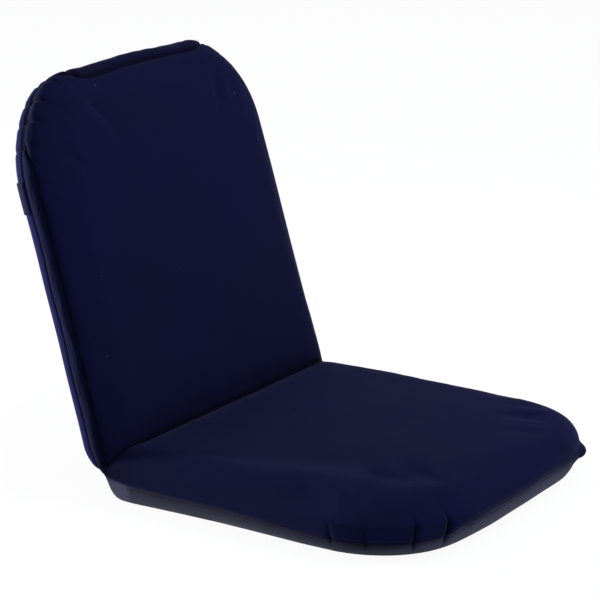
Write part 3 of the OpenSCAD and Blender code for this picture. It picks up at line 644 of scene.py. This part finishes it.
def relax(bm, x, y, free):
    """Evens out the rows of the free vertices in the flat drawing."""
    set_places(bm, np.stack([x, y, np.zeros(len(x))], 1))
    bm.verts.ensure_lookup_table()
    loose = [v for v, f in zip(bm.verts, free) if f]
    for _ in range(RELAX_ROUNDS):
        bmesh.ops.smooth_vert(bm, verts=loose, factor=0.5, use_axis_x=True, use_axis_y=True)
    co = np.array([v.co for v in bm.verts])
    return co[:, 0], co[:, 1]


def set_map(bm, uv):
    """Gives the faces their places on the flat cloth, from those of the vertices."""
    layer = bm.loops.layers.uv.new("cloth")
    bm.verts.index_update()
    for face in bm.faces:
        for loop in face.loops:
            loop[layer].uv = uv[loop.vert.index]


def finish_mesh(name, g, uv, towards):
    """Makes the object with its map in metres and the values that its material
    reads, and turns its largest face towards a direction."""
    bm = g.bm
    bmesh.ops.recalc_face_normals(bm, faces=bm.faces)
    face = max(bm.faces, key=lambda f: f.calc_area())
    if face.normal.dot(Vector(towards)) < 0:
        bmesh.ops.reverse_faces(bm, faces=bm.faces)
    set_map(bm, uv)
    thing = new_object(bm, name)
    for key, values in (("fold_shade", np.clip(g.shade, 0, 1)), ("along", g.s),
                        ("hem", g.hem), ("panel", g.panel)):
        made = thing.data.attributes.new(key, "FLOAT", "POINT")
        made.data.foreach_set("value", values.astype(np.float32))
    thing.data.shade_smooth()
    return thing


def lay_out(rings):
    """The grid that the cover and the lower shell share: rows run in from the
    front of the seat, through the fold and up the back, and rings run to the seam."""
    bm, i, j, k = ringed_grid(COLUMNS, ROWS, INNER_RINGS + rings + 1)
    g = SimpleNamespace(bm=bm, row=j, ring=k, step=k - INNER_RINGS)
    g.side = np.where(2 * i >= COLUMNS, 1, -1)
    g.across = 2 * i / COLUMNS - 1
    g.part = np.where(j < SEAT_ROWS, -1, np.where(j > SEAT_ROWS + FOLD_ROWS, 1, 0))
    g.turn = np.clip((j - SEAT_ROWS) * 2 / FOLD_ROWS - 1, -1, 1)
    g.back = g.turn > 0
    g.share = (g.turn + 1) / 2
    out = np.where(g.part < 0, (SEAT_ROWS - j) / SEAT_ROWS,
                   (j - SEAT_ROWS - FOLD_ROWS) / BACK_ROWS)
    g.out = np.where(g.part == 0, 0, out)
    on_end = (j == 0) | (j == ROWS)

    def round_outline(pad):
        _, corner_x, side, arc = outline_sizes(pad)
        straight = np.minimum(g.out / (1 - CORNER_SHARE), 1) * side
        corner = np.maximum(g.out - 1 + CORNER_SHARE, 0) / CORNER_SHARE * arc / 2
        far = np.clip((1 - np.abs(g.across)) / (1 - FAR_SHARE), 0, 1) * arc / 2
        middle = np.maximum(FAR_SHARE - np.abs(g.across), 0) / FAR_SHARE * corner_x
        return np.where(on_end, side + arc / 2 + far + middle, straight + corner)

    g.s = np.where(g.back, round_outline(BACK), round_outline(SEAT))
    gather_rows(g)
    return g


def of_pad(g, seat, back):
    """Values of the seat and the back, running into each other through the fold."""
    return seat + (back - seat) * g.share


def place_flat(g, inset, wrap, full=1.0):
    """Places on the flat drawing, where the rows inside the first ring are evened
    out: across, how far out, and the same with a sign for the seat. And how far
    each vertex is from there on the cloth, of which a ring takes up a wrap."""
    pair = [outline_place(pad, g.s, inset, full) for pad in (SEAT, BACK)]
    x, y, nx, ny = [np.where(g.back, b, a) for a, b in zip(*pair)]
    spread = np.maximum(g.step, 0) * wrap
    spread = np.stack([nx * g.side * spread, np.where(g.back, ny, -ny) * spread], 1)
    inner_x = np.abs(g.across) * (HALF_WIDTH - INNER)
    length = np.where(g.back, BACK["length"], SEAT["length"])
    inner_y = NEAR + g.out * (length - INNER - NEAR)
    t = np.clip(g.ring / INNER_RINGS, 0, 1)
    x = (inner_x + (x - inner_x) * t) * np.sign(g.across)
    y = inner_y + (y - inner_y) * t
    signed = np.where(g.part == 0, g.turn * NEAR, np.where(g.back, y, -y))
    x, signed = relax(g.bm, x, signed, (g.step < 0) & (g.part != 0))
    return x, np.abs(signed), signed, spread


# Tables round the seat and the back: lengths round the outline, and the values
# there, for the side on the sitter's right (-1), which shows, and on the left (1).
# Level of the seam over the seat's sole
SEAT_SEAM = {
    -1: ((0, 0.08, 0.14, 0.20, 0.256, 0.40, 0.446, 0.476, 0.534, 0.61),
         (0.030, 0.028, 0.0275, 0.0245, 0.021, 0.021, 0.024, 0.030, 0.032, 0.034)),
    1: ((0, 0.08, 0.14, 0.20, 0.256, 0.38, 0.43, 0.48, 0.542, 0.61),
        (0.030, 0.028, 0.0275, 0.0245, 0.021, 0.022, 0.027, 0.0305, 0.035, 0.034)),
}
# How hollow the turned-up edge of the underside is: 1 is a quarter round, 2 nearly
# straight
SEAT_HOLLOW = {
    -1: ((0, 0.126, 0.186, 0.246, 0.302, 0.36, 0.48, 0.52, 0.56, 0.61),
         (1.1, 1.95, 1.5, 1.25, 1.5, 2.1, 2.1, 1.5, 1.25, 1.4)),
    1: ((0, 0.126, 0.186, 0.246, 0.302, 0.36, 0.42, 0.5, 0.56, 0.61),
        (1.1, 1.95, 1.5, 1.25, 1.3, 1.2, 1.1, 1.5, 1.4, 1.4)),
}
BACK_HOLLOW = 1.35
# How far in from the outline the top starts to turn down
SEAT_RUN = {
    -1: ((0, 0.08, 0.18, 0.23, 0.28, 0.36, 0.45, 0.48, 0.56, 0.61),
         (0.040, 0.044, 0.053, 0.062, 0.078, 0.077, 0.060, 0.048, 0.039, 0.036)),
    1: ((0, 0.30, 0.40, 0.52, 0.61), (0.036, 0.034, 0.030, 0.031, 0.036)),
}
BACK_RUN = {
    -1: ((0, 0.10, 0.34, 0.48, 0.64), (0.044, 0.054, 0.054, 0.042, 0.036)),
    1: ((0, 0.64), (0.036, 0.036)),
}
# How evenly it slopes down: 1 is a quarter round, 2 a plain slope
SEAT_SLOPE = {
    -1: ((0, 0.14, 0.24, 0.50, 0.61), (1.0, 1.05, 1.35, 1.35, 1.2)),
    1: ((0, 0.50, 0.61), (1.0, 1.0, 1.2)),
}
HINGE_SEAM = -0.0115    # level of the cover's hem where it passes the hinge
STRAP_OUT, STRAP_WIDTH = 0.343, 0.040
ZIP_OUT = 0.070


def by_side(g, table):
    """A table's values at the vertices."""
    return np.where(g.side < 0, np.interp(g.s, *table[-1]), np.interp(g.s, *table[1]))


def seam_level(g):
    seat = SEAT["base"] + by_side(g, SEAT_SEAM)
    back = BACK["seam"] + 0.0008 * np.sin(g.s * 55)
    level = np.where(g.part < 0, seat, np.where(g.part > 0, back, of_pad(
        g, SEAT["base"] + SEAT_SEAM[1][1][0], BACK["seam"])))
    rise = (1 - np.abs(g.turn) ** 1.6) * (g.part == 0)
    return level + (HINGE_SEAM - level) * rise


# Gathers sewn into the corners: side, degrees round the corner, depth, half width,
# and how far each runs from the seam. The rows beside one are drawn close to it.
SEAT_PLEATS = (
    (-1, 2, 0.0030, 0.0020, 0.012), (-1, 22, 0.0042, 0.0019, 0.014),
    (-1, 47, 0.0075, 0.0019, 0.026), (-1, 66, 0.0085, 0.0019, 0.028),
    (-1, 84, 0.0026, 0.0022, 0.012), (1, 80, 0.0030, 0.0030, 0.014),
    (1, 56, 0.0040, 0.0030, 0.018), (1, 34, 0.0040, 0.0028, 0.020),
    (1, 12, 0.0026, 0.0028, 0.014),
)
BACK_PLEATS = (
    (-1, 24, 0.0034, 0.0024, 0.022), (-1, 40, 0.0052, 0.0022, 0.024),
    (-1, 54, 0.0052, 0.0022, 0.026), (-1, 68, 0.0056, 0.0022, 0.026),
    (-1, 85, 0.0080, 0.0022, 0.030), (1, 84, 0.0044, 0.0024, 0.020),
    (1, 68, 0.0090, 0.0024, 0.026), (1, 52, 0.0040, 0.0024, 0.020),
    (1, 34, 0.0030, 0.0024, 0.018),
)
GATHER_GAPS = (0.0019, 0.0054)
# Where the filling swells a corner beyond its plain curve: on the back, side, degrees
# round the corner, how many it reaches, and height
CORNER_PUFFS = (
    (True, -1, 66, 19, 0.0062), (True, 1, 74, 14, 0.0030), (False, 1, 50, 25, 0.0015),
)


def gather_rows(g):
    """Draws the rows beside each gather close to it, so that it folds sharply, and
    lists the gathers at their rows."""
    g.pleats = []
    for pad, pleats, on in ((SEAT, SEAT_PLEATS, ~g.back), (BACK, BACK_PLEATS, g.back)):
        _, _, straight, arc = outline_sizes(pad)
        for side in (-1, 1):
            here = on & (g.side == side) & (g.ring > 0)
            places = np.unique(g.s[here])
            moved = places.copy()
            for _, degrees, deep, half, reach in (p for p in pleats if p[0] == side):
                row = int(np.argmin(np.abs(places - straight - arc * degrees / 90)))
                for step, gap in enumerate(GATHER_GAPS, 1):
                    moved[row - step] = places[row] - gap
                    moved[row + step] = places[row] + gap
                g.pleats.append((here, places[row], deep, half, reach))
            g.s[here] = moved[np.searchsorted(places, g.s[here])]


def pleat_depth(g, away, short=1.0):
    """How far the gathers draw the cloth in, away from its seam."""
    depth = np.zeros(len(g.s))
    for here, at, deep, half, reach in g.pleats:
        off = np.abs(g.s - at)
        fall = bell(away * short, reach) * (here & (g.step > 0))
        depth += deep * fall * (bell(off, half) - 0.2 * bell(off - 0.0075, 0.004))
    return depth


def seam_swell(away):
    """How far the cloth is drawn in by its seam."""
    return 0.0016 * bell(away, 0.005)


def corner_puff(g):
    """How far the corners stand out beyond their plain curve."""
    puff = np.zeros(len(g.s))
    degrees = np.where(g.back, corner_degrees(BACK, g.s), corner_degrees(SEAT, g.s))
    for back, side, at, wide, high in CORNER_PUFFS:
        here = (g.back == back) & (g.side == side)
        puff += here * high * bell(degrees - at, wide)
    return puff


def soft_noise(places, size, seed):
    """Smooth noise from -1 to 1 at world places."""
    shift = Vector((seed * 3.1, seed * 7.7, seed * 1.3))
    return np.array([noise.noise(Vector(p) / size + shift) for p in places])


def line_noise(values, size, seed):
    """Smooth noise from -1 to 1 along a line."""
    return np.array([noise.noise(Vector((v / size, seed * 5.3, 0.4))) for v in values])


# A tuft of gathered cloth stands out at the seam of the seat's left front corner
EAR = np.array((0.168, HINGE.y - 0.439, 0.033))
EAR_WAY = np.array((0.454, -0.891, 0.0))
EAR_HALF_WIDTH, EAR_HALF_HEIGHT, EAR_LENGTH, EAR_REACH = 0.017, 0.0095, 0.0105, 0.03


def add_ear(places):
    off = places - EAR
    along = off[:, 0] * EAR_WAY[1] - off[:, 1] * EAR_WAY[0]
    near = np.exp(-(along / EAR_HALF_WIDTH) ** 4 - (off[:, 2] / EAR_HALF_HEIGHT) ** 4)
    near = near * (np.abs(off @ EAR_WAY) < EAR_REACH)
    return places + np.outer(near * EAR_LENGTH, EAR_WAY)


# The seam of the back's front panel, in degrees round its edge: beside the back, how
# much further round it is over the top, and how much less at the puckered corner
PANEL_SEAM, PANEL_TOP, PANEL_CORNER = 16, 31, 30
PANEL_TOP_STARTS, PANEL_TOP_RUN = (78, 69), 13      # degrees round the corners
PANEL_CORNER_PLACES = (8, 30, 66, 82)
PANEL_VALLEY = 0.085    # half width of its valley, in radians
COVER_WRAP, LOWER_WRAP = 0.0036, 0.0034     # width of a ring in the map


def shape_cover():
    """The navy cover: over the seat, down through the crease and up the back, with
    its sides down to the seams. The back's front panel has a seam of its own. Gives
    the piece, and which of its vertices are sewn."""
    g = lay_out(COVER_RINGS)
    seam = seam_level(g)
    tuck = of_pad(g, SEAT["tuck"], BACK["tuck"])
    run = of_pad(g, by_side(g, SEAT_RUN), by_side(g, BACK_RUN))
    slope = of_pad(g, by_side(g, SEAT_SLOPE), 1.0)
    seam_angle = np.arccos(((run - tuck) / run) ** (1 / slope))
    low = (-WIDEST_DROP - seam) / np.sin(seam_angle) ** slope
    degrees = corner_degrees(BACK, g.s)
    on_top = np.where(g.side < 0, *PANEL_TOP_STARTS)
    on_top = smoothstep(degrees - on_top, 0, PANEL_TOP_RUN) * g.back
    puckered = window(degrees, *PANEL_CORNER_PLACES) * (g.side < 0) * g.back
    panel = np.radians(PANEL_SEAM + PANEL_TOP * on_top - PANEL_CORNER * puckered)
    # rings turn from level, at a right angle, past the widest place, at none
    ring = np.clip(g.step / PANEL_RING, 0, 1)
    rest = np.clip((g.step - PANEL_RING) / (COVER_RINGS - PANEL_RING), 0, 1)
    angle = np.pi / 2 + (panel - np.pi / 2) * (1 - (1 - ring) ** 1.4)
    angle = angle - (panel + seam_angle) * rest ** 1.4
    inset = run * (1 - np.cos(angle) ** slope)
    level = -WIDEST_DROP + np.where(angle > 0, TOP + WIDEST_DROP, low) * np.sign(
        angle) * np.abs(np.sin(angle)) ** slope
    away = (angle + seam_angle) * (0.016 + 0.4 * run)
    inset = inset + LEVEL_ROOM * (g.step <= 0) + TURN_IN * (g.step > COVER_RINGS)
    pleats = pleat_depth(g, away)
    drawn = pleats + seam_swell(away) * g.back
    drawn = drawn - corner_puff(g) * np.cos(np.clip(angle, -1.5, 1.5)) ** 0.5
    drawn = drawn * (g.step >= 0)
    # seam of the front panel, and the band that swells beside it
    on_back = np.where(g.part > 0, 1, np.clip(g.turn * 1.6 - 0.3, 0, 1))
    ragged = 1 + 0.45 * line_noise(g.s + g.side, 0.012, 4)
    valley = on_back * bell(angle - panel, PANEL_VALLEY)
    dent = valley * (0.0028 + 0.0010 * on_top) * ragged
    push = on_back * 0.0012 * on_top * np.sin(np.pi * rest) - dent
    x, y, signed, spread = place_flat(g, inset + drawn - push * np.cos(angle), COVER_WRAP)
    crown = np.where(g.back, crown_of(BACK, x, y), crown_of(SEAT, x, y))
    raised = crown * np.clip(level / TOP, 0, 1) + push * np.sin(angle)
    raised = level + raised * (g.part != 0)
    set_places(g.bm, add_ear(in_chair(x, g.part, y, raised, g.turn)))
    # painted shade, darker in gathers, in the panel seam's valley, along the hem and in the
    # crease; a painted shadow of the back on the seat beside the crease; and painted shade on
    # the band beside the panel seam
    near_crease = np.where(g.part == 0, 1, np.exp(-np.maximum(y - NEAR, 0) / 0.045))
    in_crease = (g.part == 0) * (1 - smoothstep(np.abs(g.turn), 0.5, 0.9))
    g.shade = np.clip(0.9 * pleats / 0.004, 0, 0.9) + 0.75 * valley * np.clip(ragged, 0.6, 1.2)
    g.shade += 0.35 * near_crease + 0.6 * in_crease
    g.shade += (0.25 + 0.15 * on_top) * on_back * (rest > 0)
    g.shade += 0.5 * bell(away, 0.002)
    g.hem = away
    g.panel = np.where(on_back > 0.5, (angle - panel) * run, 1.0)
    sewn = (g.step >= COVER_RINGS - 1) | (np.abs(g.turn) < 0.45)
    sewn |= (g.step == PANEL_RING) & (g.part > 0)
    uv = np.stack([x, signed], 1) + spread
    return finish_mesh("chair_cover", g, uv, (0, -0.3, 1)), sewn


# Section of the grey cloth behind the hinge, from under the seat to the back's
# rear: behind and above the axis on the seat's end, round the hinge, and then out
# and level on the back
SEAT_END = ((-0.026, -0.050), (-0.012, -0.050), (-0.0050, -0.0496), (-0.0022, -0.0472),
            (-0.0014, -0.042), (0.0, -0.031), (0.0032, -0.0215))
HINGE_WRAP = 0.0182
BACK_END = ((-0.0004, -0.0190), (0.0020, -0.0255), (0.0050, -0.0322), (0.0095, -0.0380),
            (0.0150, -0.0419), (0.0205, -0.0436), (0.026, -0.0440))


def end_section():
    """Places of the fold's rows round the outside, and their lengths along it."""
    points = [Vector((y, z)) for y, z in SEAT_END]
    for degrees in (14, 24, 34, 44, 54, 64, 72):
        a = math.radians(degrees)
        points.append(HINGE_WRAP * Vector((math.sin(a), -math.cos(a))))
    for out, level in BACK_END:
        place = out * BACK_OUT + level * BACK_UP
        points.append(Vector((place.y, place.z)))
    length = np.cumsum([0] + [(b - a).length for a, b in zip(points, points[1:])])
    even = np.linspace(0, length[-1], FOLD_ROWS + 1)
    rear = np.interp(even, length, [p.x for p in points])
    up = np.interp(even, length, [p.y for p in points])
    return rear, up, even


def shape_lower(name, first_row, last_row, towards):
    """The lower shell, from its flat faces up to the seam, of which a piece keeps
    the rows from its first to its last."""
    g = lay_out(LOWER_RINGS)
    seam = seam_level(g)
    tuck = of_pad(g, SEAT["tuck"], BACK["tuck"])
    sole = of_pad(g, SEAT["sole"], BACK["sole"])
    base = of_pad(g, SEAT["base"], BACK["base"])
    hollow = np.where(g.part < 0, by_side(g, SEAT_HOLLOW), of_pad(
        g, SEAT_HOLLOW[1][1][0], BACK_HOLLOW))
    angle = np.pi / 2 * (1 - np.clip(g.step / LOWER_RINGS, 0, 1))
    stand = np.cos(angle) ** hollow
    inset = sole - (sole - tuck) * stand
    level = seam - (seam - base) * np.sin(angle)
    away = angle * 0.022
    inset = inset + (FLAT - sole) * (g.step <= 0) + TURN_IN * (g.step > LOWER_RINGS)
    flute = np.sin(2 * np.pi * g.s / 0.0105 + 2.1 * np.sin(g.s * 47))
    flute = flute * (0.55 + 0.45 * np.sin(g.s * 29 + 1)) * bell(away, 0.011)
    flute = flute * np.where(g.back, 0.0003, 0.0007) * (g.part != 0)
    pleats = pleat_depth(g, away, np.where(g.back, 1, 2.4))
    drawn = pleats + seam_swell(away) + flute - corner_puff(g) * stand
    drawn = (drawn + 0.0014 * bell(away, 0.004) * (g.part < 0)) * (g.step > 0)
    x, y, signed, spread = place_flat(g, inset + drawn, LOWER_WRAP, np.cos(angle))
    # through the fold: from the cover's hem out to the rounded end
    p, q = fold_path(np.abs(g.turn), seam, x)
    hem = np.outer(np.sign(g.turn) * p, ACROSS_FOLD) + np.outer(q, BETWEEN)
    rear, up, along = end_section()
    row = np.clip(g.row - SEAT_ROWS, 0, FOLD_ROWS)
    end = np.stack([np.zeros(len(x)), rear[row], up[row]], 1)
    fold = hem + (end - hem) * np.sin(angle)[:, None]
    # the back's rear swells between the strap and the zip, which draw it in
    free = 1 - bell(y - STRAP_OUT, 0.032) - bell(y - ZIP_OUT, 0.026)
    swell = crown_of(BACK, x, y) * np.clip(free, 0, 1) * (g.part > 0) * (g.step <= 0)
    set_places(g.bm, add_ear(in_chair(x, g.part, y, level - swell, g.turn, fold)))
    flat_y = np.where(g.part == 0, along[row] - along[FOLD_ROWS // 2],
                      signed + np.sign(signed) * (along[-1] / 2 - NEAR))
    uv = np.stack([x, flat_y], 1) + spread
    g.bm.verts.index_update()
    keep = np.zeros(len(g.row), bool)
    spare = []
    for face in g.bm.faces:
        verts = [v.index for v in face.verts]
        if first_row <= min(g.row[verts]) and max(g.row[verts]) <= last_row:
            keep[verts] = True
        else:
            spare.append(face)
    bmesh.ops.delete(g.bm, geom=spare, context="FACES")
    # Painted shade: darker in the gathers, and a painted shadow under the cover's overhanging
    # hem along the seat's seam, fading down the grey cloth and weaker and narrower at the front.
    in_front = smoothstep(corner_degrees(SEAT, g.s), 20, 70)
    dark = (0.85 - 0.45 * in_front) * bell(away, 0.013 - 0.006 * in_front) * (g.part < 0)
    g.shade = (np.clip(0.8 * pleats / 0.004, 0, 0.8) + dark)[keep]
    g.hem, g.panel, g.s = away[keep], np.ones(keep.sum()), g.s[keep]
    return finish_mesh(name, g, uv[keep], towards)


SETTLE_FRAMES = 20
PRESSURE, GROWTH = 4.0, 0.004       # of the filling, and share that the cloth grows
MOST_MOVE, MOST_INWARD = 0.0032, 0.35       # metres, and the share of it inwards


def arrays_of(mesh):
    """Places and normals of the vertices."""
    return [np.array([getattr(v, key) for v in mesh.vertices]) for key in ("co", "normal")]


def move_to(mesh, places):
    mesh.vertices.foreach_set("co", places.ravel())
    mesh.update()


def let_cloth_settle(thing, sewn):
    """Swells a piece like its filling does, on its own mesh, held where it is sewn."""
    start, normals = arrays_of(thing.data)
    pins = thing.vertex_groups.new(name="sewn")
    pins.add([int(n) for n in np.nonzero(sewn)[0]], 1.0, "ADD")
    cloth = thing.modifiers.new("settle", "CLOTH")
    settings = cloth.settings
    settings.vertex_group_mass = "sewn"
    settings.quality = 6
    settings.mass = 0.25
    settings.tension_stiffness = settings.compression_stiffness = 18
    settings.shear_stiffness = 8
    settings.bending_stiffness = 0.4
    settings.use_pressure = True
    settings.uniform_pressure_force = PRESSURE
    settings.shrink_min = -GROWTH
    settings.effector_weights.gravity = 0
    cloth.collision_settings.use_collision = False
    cloth.point_cache.frame_start = 1
    cloth.point_cache.frame_end = SETTLE_FRAMES
    scene = bpy.context.scene
    for step in range(SETTLE_FRAMES):
        scene.frame_set(step + 1)
    graph = bpy.context.evaluated_depsgraph_get()
    settled = thing.evaluated_get(graph)
    move = arrays_of(settled.to_mesh())[0] - start
    settled.to_mesh_clear()
    length = np.linalg.norm(move, axis=1)
    move *= (MOST_MOVE * np.tanh(length / MOST_MOVE) / np.maximum(length, 1e-9))[:, None]
    sunk = np.minimum((move * normals).sum(1) + MOST_MOVE * MOST_INWARD, 0)
    move -= normals * sunk[:, None]
    thing.modifiers.clear()
    thing.vertex_groups.clear()
    scene.frame_set(1)
    move_to(thing.data, start + move)


def add_swell(thing, amount, size, seed, where):
    """Moves the surface in and out along its normals by smooth noise."""
    co, normals = arrays_of(thing.data)
    wave = soft_noise(co, size, seed) * amount * where
    move_to(thing.data, co + normals * wave[:, None])


def finish_cover(thing):
    """Live subdivision and a wall of cloth inside the face, with the piece's placing applied to
    its mesh.
    """
    rounder = thing.modifiers.new("rounder", "SUBSURF")
    rounder.levels = rounder.render_levels = 1
    wall = thing.modifiers.new("cloth", "SOLIDIFY")
    wall.thickness = CLOTH
    wall.offset = -1
    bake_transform(thing)


cover, cover_sewn = shape_cover()
cover.data.materials.append(NAVY_CLOTH)
let_cloth_settle(cover, cover_sewn)
add_swell(cover, 0.0007, 0.10, 3, ~cover_sewn)
finish_cover(cover)
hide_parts("seat_cover", "crease_cover", "crease_foam", "back_cover")

REAR_SEAM_ROW = SEAT_ROWS + 19      # where the grey cloth ends on the back
underside = shape_lower("seat_underside", 0, REAR_SEAM_ROW, (0, 0, -1))
underside.data.materials.append(GREY_CLOTH)
finish_cover(underside)
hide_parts("seat_skirt", "seat_base_panel", "hinge_gusset")

back_rear = shape_lower("back_rear_cover", REAR_SEAM_ROW, ROWS, -BACK_UP)
back_rear.data.materials.append(REAR_CLOTH_PAINTED_LIGHT)
finish_cover(back_rear)
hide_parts("back_rear_band", "back_rear_panel")


# Carry strap and zip tapes, laid on the back's rear
def facets_of(*things):
    """The faces of finished pieces, to find places on them."""
    points, faces = [], []
    for thing in things:
        start = len(points)
        points += [v.co.copy() for v in thing.data.vertices]
        faces += [[start + v for v in p.vertices] for p in thing.data.polygons]
    return BVHTree.FromPolygons(points, faces)


def strip_object(name, places, size, material, wall):
    """A strip of cloth over a grid of places, rows by columns, of a flat size."""
    rows, columns = places.shape[:2]
    bm = bmesh.new()
    bmesh.ops.create_grid(bm, x_segments=columns - 1, y_segments=rows - 1, size=0.5)
    index = [(round((v.co.y + 0.5) * (rows - 1)), round((v.co.x + 0.5) * (columns - 1)))
             for v in bm.verts]
    set_map(bm, [(size[0] * row / (rows - 1), size[1] * column / (columns - 1))
                 for row, column in index])
    set_places(bm, [places[at] for at in index])
    bmesh.ops.recalc_face_normals(bm, faces=bm.faces)
    if sum((f.normal * f.calc_area() for f in bm.faces), Vector()).dot(BACK_UP) > 0:
        bmesh.ops.reverse_faces(bm, faces=bm.faces)
    thing = new_object(bm, name)
    thing.data.shade_smooth()
    thing.data.materials.append(material)
    thickness = thing.modifiers.new("cloth", "SOLIDIFY")
    thickness.thickness = wall
    thickness.offset = 1
    edge = thing.modifiers.new("edge", "BEVEL")
    edge.width = wall * 0.3
    edge.segments = 2
    edge.limit_method = "ANGLE"
    return thing


def on_rear(x, out, towards, lift):
    """A place a little over the back's rear shell, which a ray meets that comes
    inwards, against a direction in the back's cross section."""
    inside = HINGE + Vector((x, 0, 0)) + float(out) * BACK_OUT + BACK["seam"] * BACK_UP
    way = Vector((towards[0], 0, 0)) + towards[1] * BACK_UP
    hit = REAR_FACETS.ray_cast(inside + way * RAY, -way, RAY)[0]
    return hit + lift * way


REAR_FACETS = facets_of(back_rear)
RAY = 0.2
STRAP_LIFT, STRAP_WALL = 0.0006, 0.0014
ZIP_HALF = HALF_WIDTH - 0.045 + 0.012       # the panel's half width, less a margin
TAPE_WIDTH, TAPE_LIFT, TAPE_WALL, TAPE_GAP = 0.0128, 0.0001, 0.0005, 0.0002


def make_strap():
    """Webbing across the rear, sewn into the seam at both sides."""
    side = float(side_x(BACK, STRAP_OUT)) - BACK["sole"]
    rows = np.linspace(-STRAP_WIDTH / 2, STRAP_WIDTH / 2, 7)
    path = [(1, a) for a in np.radians(np.linspace(4, 90, 15))]
    path += [(share, math.pi / 2) for share in np.linspace(0.97, -0.97, 60)]
    path += [(-1, a) for a in np.radians(np.linspace(90, 4, 15))]
    places = np.array([[on_rear(side * share, STRAP_OUT + row, (
        math.copysign(math.cos(a), share), -math.sin(a)), STRAP_LIFT)
        for share, a in path] for row in rows])
    middle = places[len(rows) // 2]
    length = float(np.linalg.norm(np.diff(middle, axis=0), axis=1).sum())
    strap = strip_object("carry_strap_web", places, (STRAP_WIDTH, length), NAVY_WEBBING,
                         STRAP_WALL)
    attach(strap, "back")
    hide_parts("carry_strap")


def make_tapes():
    """The zip's two tapes, either side of its opening."""
    for side, word in ((-1, "lower"), (1, "upper")):
        rows = ZIP_OUT + side * (TAPE_GAP + np.linspace(0, TAPE_WIDTH, 4))
        columns = np.linspace(-ZIP_HALF, ZIP_HALF, 61)
        places = np.array([[on_rear(x, row, (0, -1), TAPE_LIFT) for x in columns]
                           for row in rows])
        tape = strip_object(f"zip_tape_{word}", places, (TAPE_WIDTH, 2 * ZIP_HALF), ZIP_TAPE,
                            TAPE_WALL)
        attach(tape, "back")
        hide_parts("zip_tape")


make_strap()
make_tapes()


# Soft parts inside, each from its own CAD solid, with rounded edges
COVER_FACETS = facets_of(cover, underside, back_rear)
FOAM_SHRINK = 0.003
FOAM_ROOM = 0.0032      # least room between the foam and the covers' outer faces
HINGE_ROOM, HINGE_SIDE = 0.036, 0.222       # how wide the foam is, close to the hinge axis


def soft_copy(name, node, material, voxel, rounds, body, shrink=0.0):
    """A remeshed and smoothed copy of a soft solid, in voxels of a size, and a
    little smaller all round."""
    bm = bmesh.new()
    bm.from_mesh(frame["nodes"][node].data)
    bmesh.ops.remove_doubles(bm, verts=bm.verts, dist=0.00002)
    thing = new_object(bm, name)
    remesh = thing.modifiers.new("remesh", "REMESH")
    remesh.mode = "VOXEL"
    remesh.voxel_size = voxel
    rounder = thing.modifiers.new("rounder", "SMOOTH")
    rounder.iterations = rounds
    rounder.factor = 0.5
    graph = bpy.context.evaluated_depsgraph_get()
    made = bpy.data.meshes.new_from_object(thing.evaluated_get(graph))
    thing.modifiers.clear()
    thing.data = made
    made.name = name
    co = np.array([v.co - v.normal * shrink for v in made.vertices])
    if shrink:
        co = keep_inside(co)
    move_to(made, co)
    made.shade_smooth()
    made.materials.clear()
    made.materials.append(material)
    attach(thing, body)
    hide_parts(node)


def keep_inside(places):
    """Draws the places that are outside the covers, or close to them, in."""
    made = []
    for place in places:
        near, normal, _, _ = COVER_FACETS.find_nearest(Vector(place))
        short = (Vector(place) - near).dot(normal) + FOAM_ROOM
        made.append(place - np.array(normal) * max(short, 0))
    made = np.array(made)
    at_hinge = np.hypot(made[:, 1] - HINGE.y, made[:, 2] - HINGE.z) < HINGE_ROOM
    made[at_hinge, 0] = np.clip(made[at_hinge, 0], -HINGE_SIDE, HINGE_SIDE)
    return made


for foam in ("seat_top", "seat_edge", "seat_core", "seat_bottom",
             "back_front", "back_edge", "back_core", "back_rear"):
    soft_copy(f"{foam}_cushion", f"{foam}_foam", FOAM, 0.006, 3, foam[:4],
              FOAM_SHRINK)
for body in ("seat", "back"):
    soft_copy(f"{body}_support_straps", f"{body}_webbing", BLACK_WEBBING,
              0.0016, 1, body)

# CAD solids that show as they are
SHOWN_NODES = (
    (ZINC, ("seat_hinge_arm_left", "seat_hinge_arm_right", "back_hinge_plates_left",
            "back_hinge_plates_right", "back_plate_spacers", "pivot_rivet_left",
            "pivot_rivet_right", "pivot_washers", "pawl_rivets", "pawl_springs",
            "pawl_left", "pawl_right", "seat_frame_rivets", "back_frame_rivets")),
    (FRAME_PAINT, ("seat_frame_tube", "seat_cross_bar", "back_frame_tube", "back_cross_bar")),
    (ZIP_PLASTIC, ("zip_teeth",)),
    (ZIP_METAL, ("zip_end_stops", "zip_slider", "zip_pull")),
)
for material, nodes in SHOWN_NODES:
    for node in nodes:
        mesh = frame["nodes"][node].data
        mesh.materials.clear()
        mesh.materials.append(material)
